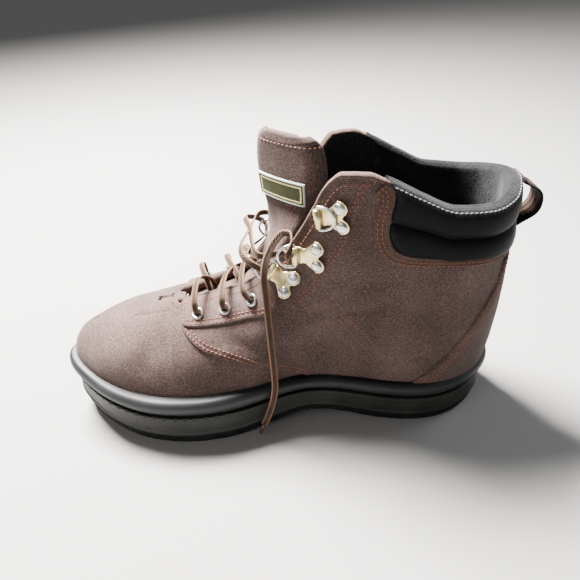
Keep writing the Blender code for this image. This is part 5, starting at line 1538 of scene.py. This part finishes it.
def to_world(place, local):
    """Local (along, across, up) points in the boot's own frame."""
    origin, along, across, normal = place
    local = np.asarray(local, float)
    return origin + local[..., :1] * along + local[..., 1:2] * across + local[..., 2:3] * normal


def eyelet_frame(node_name, side):
    """Top of the flange and its outward axis, from the one direction that differs in spread."""
    points = corners(node_name)
    centre = points.mean(axis=0)
    _, size, axes = np.linalg.svd(points - centre)
    axis = axes[0] if size[0] - size[1] > size[1] - size[2] else axes[2]
    axis = axis * np.sign(axis @ np.array([0.2, side * 0.6, 1.0]))
    return centre + axis * ((points - centre) @ axis).max(), axis


plates, eyelets = {}, {}
for name, side in SIDES.items():
    for level in RING_LIFT:
        plates[f"{name}_{level}"] = plate_frame(f"{name}_{level}", side)
    for n in (1, 2, 3):
        eyelets[name, n] = eyelet_frame(f"eyelet_{name}_{n}", side)
print("fittings:", len(plates), "plates,", len(eyelets), "eyelets")

# %% Eyelets, rivets, plates and rings


def turned(centre, axis, profile, count):
    """Grid of a closed (radius, height) profile turned about an axis, its first row repeated."""
    first = unit(np.cross(axis, (0.0, 0.0, 1.0)))
    angle = np.linspace(0, 2 * math.pi, count + 1)[:, None, None]
    radius, height = (np.array(column)[None, :, None] for column in zip(*profile))
    spoke = np.cos(angle) * first + np.sin(angle) * np.cross(axis, first)
    return centre + spoke * radius + axis * height


def fitting(name, grids, finish, node_name, body="boot"):
    """One mesh of several closed grids, standing for a CAD node."""
    piece = rings_mesh(name, grids, finish, body=body)
    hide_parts(node_name)


PLATE_RIM = (
    # share of the way from the spine out to the outline, height
    (0.0, 0.0), (1.0, 0.0), (1.0, 0.0002), (1.0, PLATE_THICKNESS - 0.0003),
    (0.975, PLATE_THICKNESS - 0.00008), (0.93, PLATE_THICKNESS), (0.0, PLATE_THICKNESS),
)


def plate_piece(key, place):
    """Stamped plate with a rounded rim: lobes round the rivets, a neck, and a barrel rolled at the front."""
    half, lobe = BARREL_LENGTH / 2, RIVET_PITCH / 2
    lobe_angles = np.radians(np.linspace(-105, 62, 20))
    outline = [(0.0, -half * 0.96), (0.003, -half * 0.93), (0.0065, -half * 0.86)]
    for a in lobe_angles:
        outline.append((PLATE_REACH + LOBE_RADIUS * math.cos(a), -lobe + LOBE_RADIUS * math.sin(a)))
    waist = [(PLATE_REACH + LOBE_RADIUS * 0.25, 0.0)]
    outline = smooth_line(outline + waist + [(x, -y) for x, y in reversed(outline)], 150)
    spine = np.stack([np.clip(outline[:, 0], 0.001, PLATE_REACH), np.zeros(len(outline))], axis=1)
    rings = []
    for share, z in PLATE_RIM:
        flat = spine + (outline - spine) * share
        rings.append(np.column_stack([flat, np.full(len(flat), z)]))
    profile = [
        (BARREL_INNER, -half), (BARREL_INNER, half), (BARREL_OUTER - 0.0002, half),
        (BARREL_OUTER, half - 0.0002), (BARREL_OUTER, -half + 0.0002), (BARREL_OUTER - 0.0002, -half),
    ]
    angle = np.linspace(0, 2 * math.pi, 37)[:, None]
    radius, y = (np.array(column)[None, :] for column in zip(*profile))
    tube = np.broadcast_arrays(radius * np.cos(angle), y, AXIS_HEIGHT + radius * np.sin(angle))
    grids = [to_world(place, part) for part in (np.array(rings), np.stack(tube, axis=-1))]
    fitting(f"stamped_plate_{key}", grids, PALE_GOLD, f"ring_plate_{key}")


def wire_ring(key, place, lift, body):
    """Round wire along a closed D: x = reach sin(t)^0.8, y = -half cos(t), then the straight side."""
    half = BARREL_LENGTH / 2 + GAP * 2 + WIRE_RADIUS
    t = np.linspace(0, math.pi, 60)
    bow = np.stack([RING_REACH * np.sin(t) ** 0.8, -half * np.cos(t)], axis=1)
    bar = np.stack([np.zeros(14), np.linspace(half, -half, 16)[1:-1]], axis=1)
    flat = np.concatenate([bow, bar])
    blur = flat.copy()
    for _ in range(3):
        blur = 0.25 * np.roll(blur, 1, axis=0) + 0.5 * blur + 0.25 * np.roll(blur, -1, axis=0)
    turn = math.radians(lift)
    reach, y = blur.T
    local = np.stack([reach * math.cos(turn), y, AXIS_HEIGHT + reach * math.sin(turn)], axis=1)
    path = to_world(place, local)
    flat_normal = unit(np.cross(path[20] - path[0], path[40] - path[0]))
    tangent = unit(np.roll(path, -1, axis=0) - np.roll(path, 1, axis=0))
    outward = np.cross(tangent, flat_normal)
    angle = np.linspace(0, 2 * math.pi, 14, endpoint=False)[None, :, None]
    grid = path[:, None] + WIRE_RADIUS * (np.cos(angle) * outward[:, None] + np.sin(angle) * flat_normal)
    fitting(f"wire_ring_{key}", [np.concatenate([grid, grid[:1]])], NICKEL, f"d_ring_{key}", body)


dome = [
    (RIVET_RADIUS * math.cos(a), RIVET_RISE * (0.25 + 0.75 * math.sin(a)))
    for a in np.linspace(0, math.pi / 2, 9)
]
RIVET_PROFILE = [(0.0, 0.0), (RIVET_RADIUS, 0.0), *dome[:-1], (0.0, RIVET_RISE)]
for key, place in plates.items():
    name, level = key.split("_")
    body = f"ring_{name}" if level == "top" else "boot"
    plate_piece(key, place)
    wire_ring(key, place, RING_LIFT[level], body)
    for n, sign in ((1, -1), (2, 1)):
        centre = to_world(place, [PLATE_REACH, sign * RIVET_PITCH / 2, PLATE_THICKNESS + GAP * 0.5])
        head = turned(centre, place[3], RIVET_PROFILE, 32)
        fitting(f"rivet_head_{key}_{n}", [head], NICKEL, f"ring_plate_{key}_rivet_{n}")

SHANK_LOW = -OVERLAY_LAYER - WALL - 0.0012
SHANK = EYELET_HOLE + 0.0004
EYELET_PROFILE = [
    # up the outside of the shank, round the rolled flange, and down the hole
    (EYELET_HOLE, SHANK_LOW), (SHANK, SHANK_LOW), (SHANK, -0.0012), (EYELET_FLANGE - 0.0001, -0.0011),
    (EYELET_FLANGE, -0.0008), (EYELET_FLANGE - 0.00025, -0.00035), (EYELET_FLANGE - 0.0008, -0.00005),
    (EYELET_FLANGE - 0.0014, 0.0), (SHANK, -0.00025), (EYELET_HOLE + 0.0001, -0.0006), (EYELET_HOLE, -0.0011),
]
for (name, n), (top, axis) in eyelets.items():
    grid = turned(top, axis, EYELET_PROFILE, 40)
    fitting(f"rolled_eyelet_{name}_{n}", [grid], NICKEL, f"eyelet_{name}_{n}")
print("metal made")

# %% [markdown]
# The facing's top edge is folded over and sewn, which leaves a soft roll along both sides of the
# throat. A bevel on the panel could stand in for it, but the roll also hides the layers' cut edges,
# so it's a tube of its own, laid over them.

# %% Rolled edges of the throat
ROLL_REACH = (4.95, 16.35)
ROLL_HALF_WIDTH = 0.0029
ROLL_HALF_HEIGHT = 0.0017
for name, side in SIDES.items():
    k = np.linspace(*ROLL_REACH, 260)
    edge = skin(side * k, 1.0)
    out = skin_normal(side * k, 0.985)
    along = unit(np.gradient(edge, axis=0))
    up = np.cross(along, out)
    up = up * np.sign(up[:, 2:3])
    centre = edge + out * 0.0005
    wave = 1 + 0.06 * np.sin(k * 9)[:, None, None]
    end = np.sqrt(np.clip(1 - np.abs(np.linspace(-1, 1, len(k))) ** 40, 0.02, 1))[:, None, None]
    angle = np.linspace(0, 2 * math.pi, 22, endpoint=False)[None, :, None]
    wide = out[:, None] * np.cos(angle) * ROLL_HALF_WIDTH
    ring = wide + up[:, None] * np.sin(angle) * ROLL_HALF_HEIGHT * wave
    roll = rings_mesh(f"rolled_edge_{name}", [centre[:, None] + ring * end], CANVAS_EDGE)

# %% [markdown]
# At its foot the throat narrows to a slit. A small tab of the same canvas is sewn across it, under
# the front of both facings, so that the pull of the lace can't tear the slit further.

# %% Throat tab
TAB_RIBS = (15.75, 18.80)
TAB_LOW = 0.82
TAB_RISE = 0.0009
SKIVE = 0.005
tab_k = np.linspace(*TAB_RIBS, 40)[:, None]
tab_v = np.linspace(TAB_LOW, 1.0, 16)[None, :]
t = np.linspace(0, 1, 11)[1:-1][None, :, None]


def across_throat(surface):
    """Both sides' values of a surface function, bridged over the slit and smoothed across it."""
    near, far = (surface(side * tab_k, tab_v) for side in (NEAR, FAR))
    sheet = np.concatenate([near, near[:, -1:] * (1 - t) + far[:, -1:] * t, far[:, ::-1]], axis=1)
    for _ in range(12):
        sheet[:, 1:-1] = 0.5 * sheet[:, 1:-1] + 0.25 * (sheet[:, :-2] + sheet[:, 2:])
    return sheet


flat, out = across_throat(skin), unit(across_throat(skin_normal))
flat = flat + out * relief(flat)[..., None]
# The tab's edges are skived, so they run out under the cloth beside them
tab_height = TAB_RISE - 0.0013 * np.clip(1 - edge_distance(flat) / SKIVE, 0, 1) ** 2
tab = closed_shell("throat_tab", flat + out * tab_height[..., None], flat - out * 0.0006, [CANVAS])

# %% [markdown]
# Seams are sewn with thick thread at about eight stitches an inch. Each stitch is a short bead that
# dips into the cloth at both ends. They are real geometry and not a texture, because they catch the
# light one by one and cross the creases with the cloth.

# %% Stitches
STITCH_PITCH = 0.0030
STITCH_LENGTH = 0.0024
STITCH_RADIUS = 0.00042
STITCH_DIP = 0.00025
BEAD_STEPS, BEAD_SIDES = 7, 6


def sewn_line(line, layer):
    """Points and normals on a cloth layer along a (q, v) line."""
    return cloth(line[:, 0], line[:, 1], layer), skin_normal(line[:, 0], line[:, 1])


def stitches(name, runs, finish):
    """Beads of r = R (1 - a^2)^0.4 every pitch along each run of points and normals, as one mesh."""
    centres, ways, normals = [], [], []
    for points, normal in runs:
        at = lengths(points)
        count = max(int(at[-1] / STITCH_PITCH), 2)
        where = (np.arange(count) + 0.5) * at[-1] / count
        centre = resample(points, at, where)
        way = resample(points, at, where + 0.0006) - centre
        way[-1] = way[-2]
        centres.append(centre)
        ways.append(unit(way))
        normals.append(unit(resample(normal, at, where)))
    centre, way, out = (np.concatenate(part)[:, None, None] for part in (centres, ways, normals))
    a = np.linspace(-1, 1, BEAD_STEPS)[None, :, None, None]
    angle = np.linspace(0, 2 * math.pi, BEAD_SIDES, endpoint=False)[None, None, :, None]
    radius = STITCH_RADIUS * (1 - a**2) ** 0.4
    bead = np.cross(way, out) * np.cos(angle) * radius + out * (np.sin(angle) * radius - STITCH_DIP * a**4)
    points = centre + way * a * STITCH_LENGTH / 2 + bead
    first = np.arange(len(points))[:, None, None] * BEAD_STEPS * BEAD_SIDES
    faces = (first + grid_quads(BEAD_STEPS, BEAD_SIDES, around=True)[None]).reshape(-1, 4)
    piece = add_mesh(name, points, faces, np.zeros((points.size // 3, 2)), [finish], merge=1e-6)
    return len(points)


def panel_rows(lines, inward, distances, layer, part=slice(None)):
    """One run for each side's line and each distance inside it."""
    runs = []
    for name, side in SIDES.items():
        line = lines[name]
        line = line[np.append(True, np.abs(np.diff(line, axis=0)).sum(axis=1) > 1e-5)]
        runs += [sewn_line(beside(line, inward * side * d)[part], layer) for d in distances]
    return runs


SHOULDER_SEAM = (
    # rib, height on the last
    (5.58, 1.000), (6.10, 0.958), (6.20, 0.921), (6.50, 0.867), (6.75, 0.796),
    (7.35, 0.704), (8.83, 0.637), (9.98, 0.604), (10.62, 0.588),
)
QUARTER_SEAMS = (
    ((9.98, 0.592), (8.75, 0.462), (7.50, 0.321), (5.65, 0.129)),
    ((8.78, 0.546), (7.45, 0.440), (6.15, 0.333), (4.73, 0.154)),
    ((7.23, 0.492), (6.40, 0.412), (5.55, 0.333), (4.25, 0.167)),
)
EDGE_SEAMS = (
    # name, lines, which way is inward, distances from the edge, layer, part of the line
    ("quarter_edge", quarter_lines, -1, (0.0022, 0.0050), QUARTER_LAYER, slice(0, -7)),
    ("facing_edge", facing_lines, 1, (0.0022, 0.0048), OVERLAY_LAYER, slice(None)),
    ("counter", counter_lines, -1, (0.0040, 0.0066), OVERLAY_LAYER + 0.0002, slice(None)),
)
ON_QUARTER = QUARTER_LAYER + 0.0001
ON_OVERLAY = OVERLAY_LAYER + 0.0001
stitch_count = 0
for name, *seam in EDGE_SEAMS:
    stitch_count += stitches(f"{name}_stitches", panel_rows(*seam), THREAD)

collar_runs = []
for name in SIDES:
    for share in (0.42, 0.77):
        collar_runs.append(sewn_line(cuff_lines[name] * (1 - share) + band_outer[name] * share, ON_OVERLAY))
stitch_count += stitches("collar_band_stitches", collar_runs, THREAD)

seam_runs = []
for side in SIDES.values():
    seam = smooth_line([(side * k, v) for k, v in SHOULDER_SEAM], 90)
    seam_runs += [sewn_line(beside(seam, shift), ON_QUARTER) for shift in (-0.0013, 0.0013)]
    for route in QUARTER_SEAMS:
        seam_runs.append(sewn_line(smooth_line([(side * k, v) for k, v in route], 60), ON_QUARTER))
    top_edge = np.stack([side * np.linspace(16.4, 5.7, 120), np.ones(120)], axis=1)
    seam_runs.append(sewn_line(beside(top_edge, -side * 0.0052), ON_OVERLAY))
stitch_count += stitches("shoulder_and_quarter_stitches", seam_runs, THREAD)

hem_row = int(np.abs(from_top[:, 45] - HEM_SEAM).argmin())
hem_out = tongue_out[hem_row, 8:-8]
hem_run = (tongue_front[hem_row, 8:-8] + hem_out * 0.0001, hem_out)
stitch_count += stitches("tongue_hem_stitches", [hem_run], THREAD)

top_column = int(np.where(cuff_out > 0, np.abs(cuff_up - 0.97), 9).argmin())
rim_out = grid_normals(cuff)[:, top_column]
rim_out = (rim_out * np.sign((rim_out[50] * np.array([0.0, 1.0, 0.3])).sum()))[6:-6]
rim_run = (cuff[6:-6, top_column] + rim_out * 0.0001, rim_out)
stitch_count += stitches("cuff_rim_stitches", [rim_run], GREY_THREAD)
print("stitches:", stitch_count)

# %% [markdown]
# The lace is one flat braid. It starts as a bar under the first eyelets; from there each half comes
# up through a hole, crosses the tongue, dives under the other facing and comes up its next hole.
# After the third eyelets it runs through the rings. A flat braid turns its width with the bend, so
# the route carries a width direction beside every point.

# %% Lace
LACE_WIDTH = 0.0046
LACE_THICKNESS = 0.0013
EYELETS = ((0.674, 0.979), (0.614, 1.021), (0.551, 1.101))
UNDER = WALL + 0.0010
UNDER_EDGE_RIB = {1: 14.4, 2: 13.2}
LACE_LIFT = 0.0010
BRAID_STEP = 0.0008
BRAID_SIDES = 20


def hermite(rows):
    """Cubic through rows of numbers, its knots spaced by the chords of the first three; evenly resampled."""
    rows = np.asarray(rows, float)
    knot = lengths(rows[:, :3])
    h = np.diff(knot)[:, None]
    slope = np.diff(rows, axis=0) / h
    inner = (h[1:] * slope[:-1] + h[:-1] * slope[1:]) / (h[1:] + h[:-1])
    tangent = np.concatenate([slope[:1], inner, slope[-1:]])
    t = np.linspace(0, 1, 30, endpoint=False)[:, None]
    fine = []
    for i in range(len(h)):
        start = (2 * t**3 - 3 * t**2 + 1) * rows[i] + (t**3 - 2 * t**2 + t) * (tangent[i] * h[i])
        end = (3 * t**2 - 2 * t**3) * rows[i + 1] + (t**3 - t**2) * (tangent[i + 1] * h[i])
        fine.append(start + end)
    fine = np.concatenate(fine + [rows[-1:]])
    at = lengths(fine[:, :3])
    return resample(fine, at, np.linspace(0, at[-1], max(int(at[-1] / BRAID_STEP), 4)))


def braid_grid(route):
    """Flat braid along (point, width direction) pairs: the section is a soft slab with thicker edges."""
    rows, before = [], None
    for point, width in route:
        width = unit(np.asarray(width, float))
        if before is not None and width @ before < 0:
            width = -width
        before = width
        rows.append(np.concatenate([point, width]))
    fine = hermite(rows)
    path = fine[:, :3]
    way = unit(np.gradient(path, axis=0))
    width = unit(fine[:, 3:] - way * (fine[:, 3:] * way).sum(axis=1, keepdims=True))
    face = np.cross(way, width)
    angle = np.linspace(0, 2 * math.pi, BRAID_SIDES, endpoint=False)[None, :, None]
    x = np.sign(np.cos(angle)) * np.abs(np.cos(angle)) ** 0.8
    z = np.sin(angle) * (1 - 0.28 * bell(x, 0.4))
    z = np.sign(z) * np.abs(z) ** 0.8
    grid = path[:, None] + width[:, None] * x * LACE_WIDTH / 2 + face[:, None] * z * LACE_THICKNESS / 2
    at = lengths(path) / MM
    uv = np.stack(np.broadcast_arrays(0.5 + x[..., 0] / 2, at[:, None]), axis=-1)
    start, end = (np.repeat(path[n : n + 1 or None, None], BRAID_SIDES, axis=1) for n in (0, -1))
    capped = np.concatenate([start, grid, end])
    return capped, np.concatenate([uv[:1], uv, uv[-1:]]), path


def eyelet_way(side, n, target):
    """Up through the hole from under the facing, then over the flange towards the target."""
    top, axis = eyelets[SIDE_NAME[side], n]
    toward = unit(target - top)
    width = np.cross(toward, axis)
    q, v = find(side, [EYELETS[n - 1]], INSTEP_HEIGHT)[0]
    below = skin(q, v) - skin_normal(q, v) * UNDER
    return [
        (below, width), (top - axis * 0.0014, width), (top + axis * 0.0016, width),
        (top + axis * 0.0050 + toward * 0.0022, width),
    ]


def dive(side, rib):
    """Over the throat's edge from the middle, down beside it and under the facing."""
    edge, normal = skin(side * rib, 1.0), skin_normal(side * rib, 0.97)
    way = unit(np.cross(normal, skin(side * (rib + 0.2), 1.0) - skin(side * (rib - 0.2), 1.0)))
    inward = way * np.sign(-side * way[1])
    under = skin(side * (rib + 0.15), 0.965) - skin_normal(side * (rib + 0.15), 0.965) * UNDER
    width = np.cross(normal, inward)
    above = edge + inward * 0.0052 + normal * 0.0012
    down = edge + inward * 0.0024 - normal * 0.0024
    return [(above, width), (down, width), (under, width)]


RING_ROUTES = {
    # through the ring and along its reach
    "in": ((-0.0060, 0.0), (-0.0010, 0.0)),
    "over": ((0.0010, 0.0), (0.0042, 0.0012), (0.0047, 0.0079), (0.0015, 0.0146)),
    "inner": ((-0.0030, 0.0140), (-0.0058, 0.0060), (-0.0046, 0.0), (-0.0010, 0.0)),
}


def ring_way(side, level, route):
    """Points of a route through a standing ring, with the barrel's direction as the lace's width."""
    origin, along, across, normal = plates[f"{SIDE_NAME[side]}_{level}"]
    turn = math.radians(RING_LIFT[level])
    way = along * math.cos(turn) + normal * math.sin(turn)
    centre = origin + normal * AXIS_HEIGHT + way * RING_REACH * 0.52
    through = unit(normal - way * (way @ normal))
    return [(centre + through * a + way * b, across) for a, b in RING_ROUTES[route]]


def half_lace(side):
    """The whole way of one half, from under its first eyelet to its end at the middle ring."""
    route = []
    for n in (1, 2):
        start = side if n == 1 else -side
        top, axis = eyelets[SIDE_NAME[start], n]
        edge = skin(-start * UNDER_EDGE_RIB[n], 1.0)
        out = skin_normal(-start * UNDER_EDGE_RIB[n], 0.97)
        middle = 0.5 * (top + axis * 0.009 + edge + out * 0.0136)
        middle = middle + np.array([0.0, 0.0, 0.0045 + side * LACE_LIFT])
        width = np.cross((0.0, -start, 0.0), (0.55, 0.0, 0.84))
        route += eyelet_way(start, n, middle) + [(middle, width)] + dive(-start, UNDER_EDGE_RIB[n])
    top, axis = eyelets[SIDE_NAME[side], 3]
    low_in, low_over = ring_way(-side, "low", "in"), ring_way(-side, "low", "over")
    mid_inner = ring_way(side, "mid", "inner")
    lift = np.array([0.0, 0.0, side * LACE_LIFT])
    middle = 0.5 * (top + axis * 0.009 + low_in[0][0]) + np.array([0.006, 0.0, 0.006]) + lift
    width = np.cross((0.0, -side, 0.0), (0.7, 0.0, 0.7))
    route += eyelet_way(side, 3, middle) + [(middle, width)] + low_in + low_over
    middle = 0.5 * (low_over[-1][0] + mid_inner[0][0]) + np.array([0.004, 0.0, 0.005]) + lift
    route += [(middle, np.cross((0.0, side, 0.0), (0.7, 0.0, 0.7)))] + mid_inner
    return route


BAR_RIB = 15.9


def bar_under_first_eyelets():
    """The bar that joins both halves, lying on the tongue at the foot of the throat."""
    sides = {}
    for side in (NEAR, FAR):
        q, v = find(side, [EYELETS[0]], INSTEP_HEIGHT)[0]
        below = skin(q, v) - skin_normal(q, v) * UNDER
        sides[side] = [below] + [point for point, _ in dive(side, BAR_RIB)[::-1][:2]]
    along = unit(skin(BAR_RIB + 0.3, 1.0) - skin(BAR_RIB - 0.3, 1.0)) * (1, 0, 1)
    middle = 0.5 * (sides[NEAR][-1] + sides[FAR][-1]) + np.array([0.0, 0.0, 0.0006])
    points = sides[NEAR] + [middle] + sides[FAR][::-1]
    return [(point, along) for point in points]


lace_parts = [braid_grid(route) for route in (half_lace(NEAR), half_lace(FAR), bar_under_first_eyelets())]
grids, uvs, paths = zip(*lace_parts)
lace_piece = rings_mesh("laced_braid", grids, BRAID, uvs, merge=1e-6)
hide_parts("lace_crossing_1", "lace_crossing_2", "lace_crossing_3", "lace_crossing_4")
print("laced part:", round(sum(lengths(path)[-1] for path in paths), 3), "m")

# %% [markdown]
# One end of the lace hangs free on the near side. It leaves the middle ring, arches over, falls past
# the facing and ends beside the sole in a plastic tip. The other end stops behind its ring, as no
# more of it can be seen.

# %% Free end of the lace
LACE_END_ROUTE = (
    (0.1030, 0.0402, 0.1455), (0.1008, 0.0370, 0.1512), (0.1020, 0.0318, 0.1550), (0.1062, 0.0298, 0.1545),
    (0.1108, 0.0318, 0.1505), (0.1148, 0.0352, 0.1448), (0.1175, 0.0388, 0.1385), (0.1186, 0.0420, 0.1310),
    (0.1180, 0.0450, 0.1170), (0.1170, 0.0475, 0.0990), (0.1160, 0.0505, 0.0800), (0.1150, 0.0535, 0.0600),
    (0.1148, 0.0562, 0.0480), (0.1165, 0.0575, 0.0370), (0.1195, 0.0580, 0.0260), (0.1228, 0.0581, 0.0160),
    (0.1243, 0.0580, 0.0128),
)
LACE_TIP_END = (0.1276, 0.0577, 0.0025)
TIP_RADIUS = 0.0012
RING_TURN = 3
before_exit, ring_exit = ring_way(NEAR, "mid", "inner")[-2:]
above_ring = ring_exit[0] + unit(ring_exit[0] - before_exit[0]) * 0.0058
free = [ring_exit, (above_ring, ring_exit[1])]
hanging = np.array(LACE_END_ROUTE)
for i, (point, way) in enumerate(zip(hanging, np.gradient(hanging, axis=0))):
    # Past its turn at the ring the braid shows its flat face to the camera
    facing_width = np.cross(way, np.array(CAMERA_PLACE) - point)
    free.append((point, facing_width if i >= RING_TURN else ring_exit[1]))
free_grid, free_uv, free_path = braid_grid(free)
free_piece = rings_mesh("free_lace_end", [free_grid], BRAID, [free_uv], merge=1e-6)
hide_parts("lace_end")

TIP_PLASTIC, tree, shader = new_material(
    "brown_acetate_lace_tip", Base_Color=colour("#4a3428"), Roughness=0.25, Specular_IOR_Level=0.55
)
# Rolled film: a faint ripple of noise over the tip
bump(tree, shader, node(tree, "ShaderNodeTexNoise", {"Scale": 600.0}).outputs["Fac"], 0.00005)
tip_way = np.array(LACE_TIP_END) - hanging[-1]
tip_length = float(np.linalg.norm(tip_way))
profile = [
    (0.0, 0.0), (TIP_RADIUS * 0.9, 0.0), (TIP_RADIUS, 0.0006), (TIP_RADIUS, tip_length * 0.86),
    (TIP_RADIUS * 0.8, tip_length * 0.92), (0.0, tip_length * 0.92),
]
tip_grid = turned(hanging[-1] + tip_way * 0.02, unit(tip_way), profile, 24)
tip_piece = rings_mesh("lace_tip_sleeve", [tip_grid], TIP_PLASTIC)
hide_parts("lace_tip")
